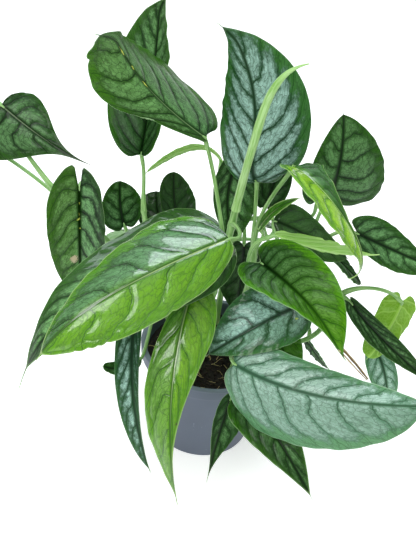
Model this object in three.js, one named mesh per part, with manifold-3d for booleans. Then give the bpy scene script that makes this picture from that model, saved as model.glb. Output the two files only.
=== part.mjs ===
// A potted monstera siltepecana: a clump of vines with silvery heart-shaped leaves in a plain nursery pot.
// Millimetres, +Z up. The origin is the centre of the pot's flat bottom, and the plant shows its best
// side towards -Y. Each leaf blade is a solid of its own with the thick joint at the top of its stalk,
// and the stalks are grown on to the vine that carries them.
import * as THREE from 'three';
import { mergeVertices } from 'three/addons/utils/BufferGeometryUtils.js';
import Module from 'manifold-3d';

const wasm = await Module();
wasm.setup();

// Pot and soil.
const POT_HEIGHT = 98;
const POT_RIM_RADIUS = 60;
const POT_BASE_RADIUS = 44;
const POT_WALL = 1.8;
const RIM_DEPTH = 11;
const RIM_STEP = 2.6;
const FOOT_RADIUS = 22;
const FOOT_LIFT = 2;
const DRAIN_HOLES = 8;
const DRAIN_RADIUS = 4.5;
const DRAIN_RING_RADIUS = 32;
const FOOT_RING_WIDTH = 4;
const RIM_ROUNDING = 1;
const SOIL_TOP = 85;
const SOIL_CROWN = 2.5;
const SOIL_BUMPS = 1.1;
const POT_SEGMENTS = 36;

// Plant.
const GAP = 0.3;
const BLADE_THICKNESS = 0.7;
const RIDGE_DEPTH = 0.5;
const JOINT_LENGTH = 7;
const JOINT_RADIUS = 1.7;
const STALK_RADIUS = 1.5;
const SHEATH_RADIUS = 2.4;
const SHEATH_SHARE = 0.45;
const STALK_HUG = 0.35;
const STALK_APPROACH = 0.3;
const STALK_STEPS = 6;
const STALK_SIDES = 5;
const VINE_STEPS = 8;
const VINE_SIDES = 6;
const TWIG_STEPS = 5;
const ROLL_STEPS = 12;

// Shape of a blade's outline, shared by all leaves.
const WIDEST_ROW = 0.3;
const LEAST_HALF = 0.15;
const TIP_WIDTH = 0.12;
const ROW_LEAD = 1.6;
const ROW_BEND = 0.24;
const HOOK_START = 0.84;
const MIDRIB_STEPS = 80;
const ROWS = [0, 0.06, 0.15, 0.29, 0.47, 0.67, 0.86, 1];
const COLUMNS = [-1, -0.55, 0, 0.55, 1];

// Leaf blades. "rib" is the midrib from base to tip through evenly spaced points, "face" is the way the
// upper side looks, "width" the full width, "fold" the lift of the two halves in degrees at base and tip,
// "curl" how much further each half bends up, "twist" the turn from base to tip, "skew" the share by
// which the right half is wider than the left at base and tip, "wave" the height and number of the
// edge's waves. The rest have the values in LEAF_SHAPE where a leaf doesn't state its own:
// "widest" is the place of the greatest width as a share of the length, "lobe" what hangs back past the
// stalk, "notch" and "sinus" how wide the gap between the lobes is at the stalk and at its mouth, "taper"
// how blunt the tip is (small is blunt), "drip" the length of the drawn-out tip, "hook" how far the tip
// bends to the side in millimetres, "hinge" the bend between stalk and blade in degrees. A leaf that is
// held sideways states instead, as "stalk", the way from the blade back along its stalk.
const LEAF_SHAPE = {
  "fold": [8, 8], "curl": 0, "twist": 0, "skew": [0, 0], "wave": [0, 3],
  "widest": 0.36, "lobe": 0.09, "notch": 0.04, "sinus": 0.2, "taper": 0.7, "drip": 0.06, "hook": 0, "hinge": 40,
};
const LEAVES = [
  // Upper left.
  { "name": "leaf_01", "rib": [[-23, 6, 292], [-69, -3, 333], [-95, -9, 378]],
    "face": [0.41, -0.38, 0.83], "width": 79.4, "fold": [-12, -16], "curl": -15, "twist": -1,
    "skew": [1.12, -0.62], "widest": 0.39, "lobe": 0.14, "taper": 0.53, "hook": -20,
    "stalk": [0.36, 0, -1], "tone": "dark" },
  { "name": "leaf_02", "rib": [[-75, 52, 244], [-72, 86, 301], [-69, 72, 372]],
    "face": [-0.5, -0.75, 0.3], "width": 63.2, "fold": [30, 22], "skew": [-0.11, -0.04], "widest": 0.33,
    "lobe": 0.04, "taper": 0.91, "hook": 7, "tone": "dark" },
  { "name": "leaf_03", "rib": [[-176, 15, 293], [-136, 5, 271], [-104, 0, 260]], "face": [0, -0.8, 0.6],
    "width": 60, "fold": [-8, 4], "curl": -15, "skew": [0.39, -0.02], "widest": 0.16, "lobe": 0.03,
    "taper": 4.57, "drip": 0, "tone": "dark" },
  { "name": "leaf_04", "rib": [[-110, -25, 256], [-107, -38, 216], [-105, -45, 172]],
    "face": [0.05, -0.95, 0.31], "width": 47, "fold": [30, 20], "skew": [0.12, -0.04], "widest": 0.26,
    "lobe": 0.2, "sinus": 0.09, "taper": 0.4, "hinge": 80, "tone": "dark" },
  // Front left.
  { "name": "leaf_05", "rib": [[2, -75, 262], [-75, -128, 239], [-114, -150, 199]],
    "face": [-0.1, -0.56, 0.8], "width": 69, "fold": [-18, -18], "curl": -10, "skew": [0.45, -0.34],
    "widest": 0.24, "lobe": 0.02, "taper": 0.72, "stalk": [0.5, 0.6, -0.3], "tone": "young" },
  { "name": "leaf_06", "rib": [[-2, -41, 237], [-58, -80, 220], [-103, -110, 204], [-134, -124, 144]],
    "face": [-0.1, -0.55, 0.8], "width": 76, "fold": [-10, -10], "skew": [0.24, 0.12], "widest": 0.13,
    "lobe": 0.04, "taper": 1.09, "drip": 0.12, "tone": "dark" },
  { "name": "leaf_07", "rib": [[-20, -76, 208], [-24, -132, 157], [-11, -165, 87]],
    "face": [-0.06, -0.85, 0.53], "width": 37.7, "fold": [-10, -16], "twist": -21, "skew": [-0.84, 1.29],
    "widest": 0.21, "lobe": 0.1, "taper": 1.29, "hinge": 80, "tone": "young" },
  { "name": "leaf_08", "rib": [[-57, -90, 199], [-52, -118, 142], [-34, -130, 74]],
    "face": [0, -0.85, 0.5], "width": 18, "fold": [-8, 20], "skew": [0.14, 0.81], "widest": 0.18,
    "taper": 0.83, "hinge": 80, "tone": "silver" },
  // Crown.
  { "name": "leaf_09", "rib": [[19, 15, 254], [13, 12, 282], [8, 22, 321], [-20, 35, 371]],
    "face": [-0.4, -0.8, 0.4], "width": 74, "fold": [-8, -8], "curl": -20, "skew": [0.05, 0.23],
    "widest": 0.37, "lobe": 0.07, "taper": 1.03, "hook": -7, "stalk": [0.1, -0.15, -1],
    "tone": "silver" },
  { "name": "leaf_10", "rib": [[22, 62, 222], [26, 88, 262], [26, 112, 290]], "face": [0, 0.6, 0.8],
    "width": 44, "tone": "dark" },
  { "name": "leaf_11", "rib": [[4, 42, 259], [-1, 28, 227], [9, 12, 197]], "face": [0, -0.8, 0.6],
    "width": 37, "skew": [-0.29, -0.41], "widest": 0.35, "taper": 0.55, "hinge": 80, "tone": "dark" },
  { "name": "leaf_12", "rib": [[72, 48, 223], [82, 74, 239], [91, 96, 245]], "face": [0.2, 0.6, 0.8],
    "width": 32, "skew": [0.18, -0.4], "widest": 0.16, "lobe": 0.12, "taper": 0.86, "tone": "dark" },
  { "name": "leaf_13", "rib": [[79, 28, 244], [81, 33, 277], [77, 45, 308]], "face": [0, -0.95, 0.3],
    "width": 63, "fold": [-8, -8], "curl": -15, "skew": [0.36, 0.28], "widest": 0.13, "lobe": 0.16,
    "taper": 0.72, "tone": "dark" },
  { "name": "leaf_14", "rib": [[42, -10, 286], [67, -36, 281], [93, -58, 257], [89, -72, 238]],
    "face": [0.53, -0.29, 0.8], "width": 44, "fold": [6, 20], "twist": -25, "skew": [-0.58, 1.6],
    "widest": 0.12, "lobe": 0.03, "taper": 1.24, "stalk": [-0.45, 0, -1], "tone": "young" },
  // Right of the middle.
  { "name": "leaf_15", "rib": [[36, -32, 241], [76, -48, 243], [110, -50, 247]],
    "face": [0.06, 0.77, 0.64], "width": 29, "fold": [10, 10], "skew": [0.06, 0.44], "widest": 0.47,
    "lobe": 0, "taper": 1.56, "tone": "dark" },
  { "name": "leaf_16", "rib": [[35, -12, 239], [58, -12, 231], [98, -14, 213]], "face": [0, -0.6, 0.8],
    "width": 32, "skew": [-0.32, 0.44], "widest": 0.22, "lobe": 0, "taper": 0.68, "stalk": [0.2, 0.1, -1],
    "tone": "dark" },
  { "name": "leaf_17", "rib": [[27, -60, 234], [66, -97, 226], [91, -112, 194]],
    "face": [0.1, -0.68, 0.73], "width": 49, "fold": [28, 18], "twist": 18, "skew": [0.24, -0.85],
    "widest": 0.17, "lobe": 0.12, "taper": 1.34, "hook": -4, "stalk": [-0.2, 0.7, -0.7], "tone": "dark" },
  { "name": "leaf_18", "rib": [[63, -40, 183], [32, -62, 176], [-4, -72, 148]], "face": [-0.1, -0.6, 0.8],
    "width": 52, "skew": [-0.01, 0.22], "widest": 0.29, "taper": 0.92, "tone": "silver" },
  { "name": "leaf_19", "rib": [[18, -80, 152], [81, -108, 157], [162, -112, 165]],
    "face": [-0.16, -0.76, 0.63], "width": 73, "fold": [-20, -20], "curl": -10, "twist": 11,
    "skew": [0.27, 0.43], "widest": 0.22, "lobe": 0.06, "taper": 0.54, "tone": "silver" },
  { "name": "leaf_20", "rib": [[29, -68, 115], [58, -103, 103], [91, -136, 73]], "face": [0, -0.6, 0.8],
    "width": 40.5, "skew": [0.29, -0.14], "widest": 0.2, "lobe": 0, "taper": 1.12, "tone": "dark" },
  { "name": "leaf_21", "rib": [[21, -70, 105], [14, -92, 75], [10, -108, 44]], "face": [0.22, -0.8, 0.52],
    "width": 23.4, "skew": [-0.22, -0.35], "widest": 0.21, "lobe": 0.07, "taper": 2.2,
    "stalk": [0, 0.6, 0.8], "tone": "dark" },
  // Far right.
  { "name": "leaf_22", "rib": [[106, -20, 176], [141, -25, 143], [194, -30, 103]],
    "face": [-0.3, -0.5, 0.8], "width": 20, "fold": [16, 16], "skew": [0.35, -0.4], "widest": 0.33,
    "taper": 1.21, "tone": "dark" },
  { "name": "leaf_23", "rib": [[101, 3, 227], [133, -2, 218], [170, -10, 210]], "face": [0, -0.6, 0.8],
    "width": 34, "skew": [-0.36, 0.5], "widest": 0.28, "lobe": 0.13, "taper": 0.82, "tone": "dark" },
  { "name": "leaf_24", "rib": [[75, -1, 215], [91, -5, 205], [113, -9, 187]], "face": [0.4, -0.2, 0.9],
    "width": 15.3, "skew": [-0.17, 0.47], "widest": 0.47, "lobe": 0.06, "taper": 0.42, "tone": "dark" },
  { "name": "leaf_25", "rib": [[150, -2, 169], [143, -10, 142], [131, -16, 114]], "face": [0.2, 0.8, 0.3],
    "width": 30, "fold": [20, 10], "skew": [-0.01, -0.08], "widest": 0.12, "lobe": 0.13, "taper": 0.31,
    "stalk": [-0.8, 0.1, 0.6], "tone": "young" },
  { "name": "leaf_26", "rib": [[142, 2, 111], [155, -4, 86], [167, 0, 44]], "face": [0, -0.8, 0.5],
    "width": 25, "skew": [0.25, -0.07], "widest": 0.25, "lobe": 0.11, "taper": 0.65, "hinge": 70,
    "tone": "silver" },
  { "name": "leaf_27", "rib": [[50, -32, 151], [60, -42, 132], [76, -48, 110]], "face": [0, -0.8, 0.5],
    "width": 29, "skew": [-0.19, 0.02], "widest": 0.33, "taper": 0.93, "tone": "dark" },
  { "name": "leaf_28", "rib": [[79, -19, 130], [91, -22, 115], [101, -25, 106]],
    "face": [-0.8, -0.1, 0.5], "width": 17, "skew": [0.06, -0.03], "widest": 0.31, "lobe": 0.1,
    "taper": 0.63, "tone": "dark" },
  // Behind and between.
  { "name": "leaf_29", "rib": [[-2, 76, 168], [-7, 107, 142], [-9, 124, 95]], "face": [0.05, 0.9, 0.5],
    "width": 47, "tone": "dark" },
  { "name": "leaf_30", "rib": [[-83, 30, 188], [-89, 43, 200], [-91, 53, 218]], "face": [0, -0.9, 0.3],
    "width": 35.4, "skew": [0.01, 0.21], "widest": 0.33, "lobe": 0.12, "taper": 0.48, "tone": "dark" },
  { "name": "leaf_31", "rib": [[-52, 42, 178], [-58, 52, 191], [-62, 62, 206]], "face": [-0.3, -0.8, 0.3],
    "width": 36, "fold": [20, 20], "skew": [0.04, 0.01], "widest": 0.46, "taper": 0.43, "tone": "dark" },
  { "name": "leaf_32", "rib": [[-37, 26, 193], [-44, 38, 214], [-47, 48, 236]], "face": [0, -0.9, 0.4],
    "width": 29, "skew": [0.31, -0.02], "widest": 0.47, "taper": 0.48, "tone": "dark" },
  { "name": "leaf_33", "rib": [[-9, 60, 243], [-35, 70, 246], [-72, 60, 222]], "face": [0, 0.8, 0.5],
    "width": 10, "skew": [-0.05, 0.17], "widest": 0.37, "taper": 0.45, "tone": "dark" },
  { "name": "leaf_34", "rib": [[44, 70, 176], [66, 100, 150], [78, 112, 104]], "face": [0.3, 0.8, 0.4],
    "width": 42, "tone": "dark" },
  { "name": "leaf_35", "rib": [[25, -9, 228], [35, -12, 249], [52, -10, 261]],
    "face": [-0.44, -0.5, 0.74], "width": 9, "skew": [0.05, -0.04], "widest": 0.35, "lobe": 0.08,
    "taper": 0.74, "tone": "young" },
  { "name": "leaf_36", "rib": [[31, 44, 215], [36, 54, 235], [43, 64, 258]], "face": [0, -0.9, 0.4],
    "width": 28, "tone": "dark" },
  { "name": "leaf_37", "rib": [[-58, -40, 105], [-70, -52, 105], [-85, -58, 111]], "face": [0, -0.5, 0.9],
    "width": 13, "skew": [-0.02, 0], "taper": 0.32, "tone": "dark" },
  { "name": "leaf_38", "rib": [[-186, 20, 252], [-209, 18, 250], [-232, 13, 240]],
    "face": [0.04, -0.5, 0.9], "width": 35, "tone": "dark" },
  { "name": "leaf_39", "rib": [[-52, 62, 156], [-84, 86, 144], [-112, 92, 108]], "face": [-0.3, 0.5, 0.8],
    "width": 44, "tone": "dark" },
  { "name": "leaf_40", "rib": [[17, 22, 190], [19, 24, 156], [19, 20, 116]], "face": [0, -0.9, 0.3],
    "width": 42, "tone": "dark" },
];

// Vines. "points" run from in the soil to the growing end, "radius" is the stem at both ends, and
// "stalks" names the leaves that the vine carries, each with the share of the vine's length where its
// stalk leaves it, and with how far it hugs the vine if that isn't STALK_HUG. "stump" is an old stalk
// that lost its leaf.
const VINES = [
  { "name": "vine_left", "points": [[-16, 6, 60], [-46, 10, 124], [-84, 4, 180], [-120, -8, 226]],
    "radius": [3, 2.2],
    "stalks": [[0.99, "leaf_03"], [0.9, "leaf_38"], [0.8, "leaf_04"], [0.6, "leaf_30"],
      [0.32, "leaf_37"]] },
  { "name": "vine_back_left", "points": [[-10, 22, 60], [-34, 30, 120], [-56, 32, 165], [-68, 32, 205]],
    "radius": [3, 2.2],
    "stalks": [[0.99, "leaf_02"], [0.6, "leaf_31"], [0.7, "leaf_32"]] },
  { "name": "vine_centre", "points": [[6, 4, 60], [16, 2, 112], [24, 0, 158], [24, 4, 200]],
    "radius": [3.6, 2.8],
    "stalks": [[0.99, "leaf_09"], [0.94, "leaf_35"], [0.97, "leaf_14"]] },
  { "name": "vine_front_left", "points": [[-6, -16, 60], [-8, -24, 124], [-2, -26, 188], [5, -22, 251]],
    "radius": [3.2, 2.8],
    "stalks": [[0.93, "leaf_05", 0.1], [0.78, "leaf_01", 0.1], [0.72, "leaf_06"], [0.6, "leaf_07"],
      [0.48, "leaf_08"]] },
  { "name": "vine_right", "points": [[24, 6, 60], [42, 6, 112], [56, 4, 156], [64, 2, 198]],
    "radius": [3.2, 2.4],
    "stalks": [[0.99, "leaf_13"], [0.86, "leaf_23"], [0.74, "leaf_24"], [0.8, "leaf_16"],
      [0.6, "leaf_36"]] },
  { "name": "vine_front_right", "points": [[16, -18, 60], [20, -28, 92], [24, -36, 124], [30, -34, 158]],
    "radius": [3.2, 2.6],
    "stalks": [[0.99, "leaf_17"], [0.9, "leaf_15"], [0.6, "leaf_19"], [0.36, "leaf_20"], [0.28, "leaf_21"],
      [0.75, "leaf_27"]] },
  { "name": "vine_far_right", "points": [[30, -4, 60], [44, -4, 108], [74, -6, 146], [99, -12, 178]],
    "radius": [3, 2.2],
    "stalks": [[0.99, "leaf_25"], [0.9, "leaf_22"], [0.8, "leaf_26"], [0.6, "leaf_18"], [0.5, "leaf_28"]],
    "stump": [[44, -4, 108], [58, -20, 124], [73, -31, 140], [85, -34, 158]] },
  { "name": "vine_back", "points": [[2, 32, 60], [4, 46, 106], [6, 56, 150], [12, 60, 190]],
    "radius": [3, 2.4],
    "stalks": [[0.99, "leaf_10"], [0.97, "leaf_11"], [0.94, "leaf_33"], [0.8, "leaf_29"],
      [0.7, "leaf_39"], [0.76, "leaf_34"], [0.9, "leaf_12"], [0.84, "leaf_40"]] },
];

// The newest leaf is still rolled up. It stands on the end of this vine.
const ROLL_VINE = 'vine_front_left';
const ROLL = {
  "name": "new_leaf_roll",
  "points": [[5, -22, 251], [9, -26, 293], [13, -32, 329], [19, -38, 359], [37, -44, 379]],
  "radii": [2.8, 3, 3.2, 2.6, 0.4],
};

// The dead twig that lies on from the end of the far right vine's stump.
const TWIG = {
  "name": "dead_twig",
  "points": [[85, -34, 158], [107, -38, 140], [130, -42, 117]],
  "radius": [1.4, 0.7],
};

function material(name, colour, roughness) {
  const result = new THREE.MeshStandardMaterial({ color: colour, roughness, metalness: 0 });
  result.name = name;
  return result;
}

const potMaterial = material('moulded plastic', 0x5f6b7b, 0.55);
const soilMaterial = material('potting mix', 0x2a211b, 0.95);
const vineMaterial = material('green stem', 0x9cc873, 0.5);
const twigMaterial = material('dry brown twig', 0x6b5236, 0.9);
const bladeMaterials = {
  dark: material('dark leaf', 0x2f5f3c, 0.4),
  silver: material('silver leaf', 0x7fae94, 0.4),
  young: material('young leaf', 0x6fb81c, 0.3),
};

// The point at share t of the curve through evenly spaced points.
function curvePoint(points, t) {
  const result = new THREE.Vector3();
  const last = points.length - 1;
  points.forEach((point, i) => {
    let weight = 1;
    for (let j = 0; j <= last; j++) {
      if (j !== i) weight *= (t * last - j) / (i - j);
    }
    result.addScaledVector(new THREE.Vector3(...point), weight);
  });
  return result;
}

function curvePoints(points, steps) {
  return Array.from({ length: steps + 1 }, (unused, i) => curvePoint(points, i / steps));
}

function solidOf(positions, triangles) {
  return new wasm.Manifold(new wasm.Mesh({
    numProp: 3,
    vertProperties: new Float32Array(positions.flatMap((p) => [p.x, p.y, p.z])),
    triVerts: new Uint32Array(triangles.flat()),
  }));
}

function solidOfGeometry(source) {
  const bare = source.clone();
  bare.deleteAttribute('normal');
  bare.deleteAttribute('uv');
  const merged = mergeVertices(bare, 1e-4);
  return new wasm.Manifold(new wasm.Mesh({
    numProp: 3,
    vertProperties: new Float32Array(merged.attributes.position.array),
    triVerts: new Uint32Array(merged.index.array),
  }));
}

function geometryOf(solid) {
  const mesh = solid.getMesh();
  const geometry = new THREE.BufferGeometry();
  const positions = new Float32Array(mesh.numVert * 3);
  for (let i = 0; i < mesh.numVert; i++) {
    for (let k = 0; k < 3; k++) positions[3 * i + k] = mesh.vertProperties[i * mesh.numProp + k];
  }
  geometry.setAttribute('position', new THREE.BufferAttribute(positions, 3));
  geometry.setIndex([...mesh.triVerts]);
  geometry.computeVertexNormals();
  return geometry;
}

// A closed tube along a row of points, with its own radius at each. The ends are cut square to
// "startWay" and "endWay" where they are given.
function tube(points, radii, sides, startWay, endWay) {
  const positions = [];
  const triangles = [];
  const last = points.length - 1;
  let across = new THREE.Vector3(0.3, 1, 0.2);
  points.forEach((point, i) => {
    const before = points[Math.max(i - 1, 0)];
    const after = points[Math.min(i + 1, last)];
    const along = after.clone().sub(before).normalize();
    if (i === 0 && startWay) along.copy(startWay);
    if (i === last && endWay) along.copy(endWay);
    across = across.clone().addScaledVector(along, -across.dot(along)).normalize();
    const up = along.clone().cross(across);
    for (let k = 0; k < sides; k++) {
      const angle = 2 * Math.PI * k / sides;
      positions.push(point.clone()
        .addScaledVector(across, radii[i] * Math.cos(angle))
        .addScaledVector(up, radii[i] * Math.sin(angle)));
    }
  });
  for (let i = 0; i < last; i++) {
    for (let k = 0; k < sides; k++) {
      const a = i * sides + k;
      const b = i * sides + (k + 1) % sides;
      triangles.push([a, b, b + sides], [a, b + sides, a + sides]);
    }
  }
  for (let k = 1; k < sides - 1; k++) {
    triangles.push([0, k + 1, k], [last * sides, last * sides + k, last * sides + k + 1]);
  }
  return solidOf(positions, triangles);
}

// The midrib of a leaf: its length, and for a distance from the base the point on it, the way it runs,
// the way across and the way the upper side looks.
function midribOf(leaf) {
  const steps = MIDRIB_STEPS;
  const fine = curvePoints(leaf.rib, 5 * steps);
  const run = [0];
  for (let i = 1; i < fine.length; i++) run.push(run[i - 1] + fine[i].distanceTo(fine[i - 1]));
  const length = run[run.length - 1];
  const points = [];
  for (let i = 0, k = 1; i <= steps; i++) {
    const wanted = length * i / steps;
    while (k < fine.length - 1 && run[k] < wanted) k++;
    points.push(fine[k - 1].clone().lerp(fine[k], (wanted - run[k - 1]) / (run[k] - run[k - 1])));
  }
  const ways = points.map((point, i) => {
    return points[Math.min(i + 1, steps)].clone().sub(points[Math.max(i - 1, 0)]).normalize();
  });
  const side = ways[steps / 2].clone().cross(new THREE.Vector3(...leaf.face)).normalize();
  const frames = points.map((point, i) => {
    const way = ways[i];
    const flatAcross = side.clone().addScaledVector(way, -side.dot(way)).normalize();
    const flatUp = flatAcross.clone().cross(way);
    const turn = THREE.MathUtils.degToRad(leaf.twist) * (i / steps - 0.5);
    const [c, s] = [Math.cos(turn), Math.sin(turn)];
    const across = flatAcross.clone().multiplyScalar(c).addScaledVector(flatUp, s);
    const up = flatUp.clone().multiplyScalar(c).addScaledVector(flatAcross, -s);
    return { point, way, across, up };
  });
  return { length, frames };
}

function frameAt(midrib, distance) {
  const last = midrib.frames.length - 1;
  const place = Math.min(Math.max(distance / midrib.length, 0), 1) * last;
  const before = midrib.frames[Math.floor(place)];
  const after = midrib.frames[Math.min(Math.floor(place) + 1, last)];
  const share = place - Math.floor(place);
  const mix = (key) => before[key].clone().lerp(after[key], share);
  const point = mix('point').addScaledVector(mix('way'), Math.min(distance, 0));
  return { point, way: mix('way'), across: mix('across'), up: mix('up') };
}

// Where row t of the blade meets the edge: the distance along the midrib and the half width there.
function edgeAt(leaf, length, t) {
  const half = leaf.width / 2;
  const widest = leaf.widest * length;
  if (t < WIDEST_ROW) {
    const angle = leaf.notch + (Math.PI / 2 - leaf.notch) * t / WIDEST_ROW;
    const lobe = leaf.lobe * length;
    const sinus = lobe * Math.exp(-((Math.sin(angle) / leaf.sinus) ** 2));
    return [widest - (widest + lobe) * Math.cos(angle) + sinus, half * Math.sin(angle)];
  }
  const share = (t - WIDEST_ROW) / (1 - WIDEST_ROW);
  const body = Math.max(Math.cos(Math.min(1, share / (1 - leaf.drip)) * Math.PI / 2), 0) ** leaf.taper;
  const drip = TIP_WIDTH * (1 - share);
  return [widest + (length - widest) * share, half * (body + drip * (1 - body))];
}

// The point of the blade's upper side in row t, at share c from the midrib (0) to an edge (-1 or 1).
function bladePoint(leaf, midrib, t, c) {
  const s = Math.abs(c);
  const half = leaf.width / 2;
  let [edgeAlong, halfThere] = edgeAt(leaf, midrib.length, t);
  const skew = Math.sign(c) * (leaf.skew[0] + (leaf.skew[1] - leaf.skew[0]) * t);
  const share = Math.max(LEAST_HALF, 1 + skew);
  const edgeAcross = halfThere * share;
  if (edgeAlong < 0) edgeAlong *= Math.min(1, share);
  const ribAlong = midrib.length * t ** ROW_LEAD;
  const reach = edgeAlong - ribAlong;
  const rowBend = ROW_BEND * Math.min(1, t / WIDEST_ROW);
  const along = ribAlong + reach * (reach < 0 ? s * s : s) - rowBend * edgeAcross * s * (1 - s);
  const across = edgeAcross * s;
  const fold = THREE.MathUtils.degToRad(leaf.fold[0] + (leaf.fold[1] - leaf.fold[0]) * t);
  const bend = THREE.MathUtils.degToRad(leaf.curl || 0.01) / half;
  const out = (Math.sin(fold + bend * across) - Math.sin(fold)) / bend;
  let lift = (Math.cos(fold) - Math.cos(fold + bend * across)) / bend;
  const waveHeight = leaf.wave[0] * s * s * Math.min(1, edgeAcross / (0.3 * half));
  lift += waveHeight * Math.sin(2 * Math.PI * (leaf.wave[1] * t + 0.37 * Math.sign(c)));
  const nearTip = Math.max(0, along / midrib.length - HOOK_START) / (1 - HOOK_START);
  const aside = out * Math.sign(c) + leaf.hook * nearTip ** 1.5;
  const frame = frameAt(midrib, along);
  return frame.point.addScaledVector(frame.across, aside).addScaledVector(frame.up, lift);
}

function bladeSolid(leaf, midrib) {
  const lastRow = ROWS.length - 1;
  const columns = COLUMNS.length;
  const middle = (columns - 1) / 2;
  const upper = ROWS.map((t) => COLUMNS.map((c) => bladePoint(leaf, midrib, t, c)));
  const normalAt = (i, j) => {
    const row = Math.max(1, Math.min(i, lastRow - 1));
    const down = upper[row + 1][j].clone().sub(upper[row - 1][j]);
    const side = upper[row][Math.min(j + 1, columns - 1)].clone().sub(upper[row][Math.max(j - 1, 0)]);
    return side.cross(down).normalize();
  };
  const lower = upper.map((row, i) => row.map((point, j) => {
    const depth = BLADE_THICKNESS + (j === middle ? RIDGE_DEPTH * (1 - ROWS[i]) : 0);
    return point.clone().addScaledVector(normalAt(i, j), -depth);
  }));
  const positions = [];
  const number = [upper, lower].map((sheet) => sheet.map((row, i) => {
    if (i === 0 || i === lastRow) {
      positions.push(row[middle]);
      return row.map(() => positions.length - 1);
    }
    return row.map((point) => positions.push(point) - 1);
  }));
  const triangles = [];
  const add = (a, b, c) => {
    if (a !== b && b !== c && a !== c) triangles.push([a, b, c]);
  };
  const quad = (a, b, c, d) => {
    add(a, b, c);
    add(a, c, d);
  };
  const [top, bottom] = number;
  for (let i = 0; i < lastRow; i++) {
    for (let j = 0; j < columns - 1; j++) {
      quad(top[i][j], top[i][j + 1], top[i + 1][j + 1], top[i + 1][j]);
      quad(bottom[i][j], bottom[i + 1][j], bottom[i + 1][j + 1], bottom[i][j + 1]);
    }
    quad(top[i][0], top[i + 1][0], bottom[i + 1][0], bottom[i][0]);
    const j = columns - 1;
    quad(top[i][j], bottom[i][j], bottom[i + 1][j], top[i + 1][j]);
  }
  return solidOf(positions, triangles);
}

// The thick joint under the blade's base: from inside the midrib down to where the stalk meets it.
function jointOf(leaf, midrib) {
  const frame = frameAt(midrib, 0);
  const hinge = THREE.MathUtils.degToRad(leaf.hinge);
  const bent = frame.way.clone().multiplyScalar(-Math.cos(hinge));
  bent.addScaledVector(frame.up, -Math.sin(hinge));
  const way = leaf.stalk ? new THREE.Vector3(...leaf.stalk).normalize() : bent;
  const root = frame.point.clone().addScaledVector(frame.way, 3).addScaledVector(frame.up, -0.7);
  const bend = frame.point.clone().addScaledVector(frame.up, -1.3);
  const end = bend.clone().addScaledVector(way, JOINT_LENGTH);
  return { root, bend, end, way };
}

function leafGeometry(leaf, midrib) {
  const joint = jointOf(leaf, midrib);
  const radii = [0.9, JOINT_RADIUS * 0.85, JOINT_RADIUS];
  const stub = tube([joint.root, joint.bend, joint.end], radii, STALK_SIDES, null, joint.way);
  return geometryOf(bladeSolid(leaf, midrib).add(stub));
}

// A stalk leaves the vine along it, as a sheath, and comes to the leaf's joint from below.
function stalkSolid(vine, share, leaf, midrib, hug = STALK_HUG) {
  const start = curvePoint(vine.points, share);
  const alongVine = curvePoint(vine.points, share).sub(curvePoint(vine.points, share - 0.02)).normalize();
  const joint = jointOf(leaf, midrib);
  const end = joint.end.clone().addScaledVector(joint.way, GAP);
  const reach = start.distanceTo(end);
  const curve = new THREE.CubicBezierCurve3(start, start.clone().addScaledVector(alongVine, reach * hug),
    end.clone().addScaledVector(joint.way, reach * STALK_APPROACH), end);
  const radii = Array.from({ length: STALK_STEPS + 1 }, (unused, i) => {
    const sheath = Math.max(0, 1 - i / STALK_STEPS / SHEATH_SHARE);
    return STALK_RADIUS + (SHEATH_RADIUS - STALK_RADIUS) * Math.min(1, 1.4 * sheath);
  });
  return tube(curve.getPoints(STALK_STEPS), radii, STALK_SIDES, null, joint.way.clone().negate());
}

// The way that a vine runs at its growing end.
function vineEndWay(vine) {
  return curvePoint(vine.points, 1).sub(curvePoint(vine.points, 1 - 0.5 / VINE_STEPS)).normalize();
}

function vineStem(vine, extra) {
  const radii = Array.from({ length: VINE_STEPS + 1 }, (unused, i) => {
    return vine.radius[0] + (vine.radius[1] - vine.radius[0]) * i / VINE_STEPS + extra;
  });
  return tube(curvePoints(vine.points, VINE_STEPS), radii, VINE_SIDES, null, vineEndWay(vine));
}

// The way from the stump's last point but one to its last.
function stumpEnd(vine) {
  const [before, end] = vine.stump.slice(-2).map((point) => new THREE.Vector3(...point));
  return { end, way: end.clone().sub(before).normalize() };
}

function stumpSolid(vine) {
  const radii = Array.from({ length: TWIG_STEPS + 1 }, () => TWIG.radius[0]);
  return tube(curvePoints(vine.stump, TWIG_STEPS), radii, STALK_SIDES, null, stumpEnd(vine).way);
}

function twigGeometry() {
  const { way } = stumpEnd(VINES.find((vine) => vine.stump));
  const points = curvePoints(TWIG.points, TWIG_STEPS);
  points[0].addScaledVector(way, GAP);
  const radii = points.map((point, i) => {
    return TWIG.radius[0] + (TWIG.radius[1] - TWIG.radius[0]) * i / TWIG_STEPS;
  });
  return geometryOf(tube(points, radii, STALK_SIDES, way));
}

function vineGeometry(vine, leaves) {
  const stalks = vine.stalks.map(([share, name, hug]) => {
    return stalkSolid(vine, share, leaves[name].leaf, leaves[name].midrib, hug);
  });
  if (vine.stump) stalks.push(stumpSolid(vine));
  return geometryOf(stalks.reduce((whole, stalk) => whole.add(stalk), vineStem(vine, 0)));
}

function rollGeometry() {
  const points = curvePoints(ROLL.points, ROLL_STEPS);
  const way = vineEndWay(VINES.find((vine) => vine.name === ROLL_VINE));
  points[0].addScaledVector(way, GAP);
  const radii = points.map((point, i) => {
    const place = i / ROLL_STEPS * (ROLL.radii.length - 1);
    const k = Math.min(Math.floor(place), ROLL.radii.length - 2);
    return ROLL.radii[k] + (ROLL.radii[k + 1] - ROLL.radii[k]) * (place - k);
  });
  return geometryOf(tube(points, radii, VINE_SIDES, way));
}

// The pot's outer radius at a height, below the rim's band.
function potRadius(z) {
  const top = POT_RIM_RADIUS - RIM_STEP;
  return POT_BASE_RADIUS + (top - POT_BASE_RADIUS) * z / POT_HEIGHT;
}

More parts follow.
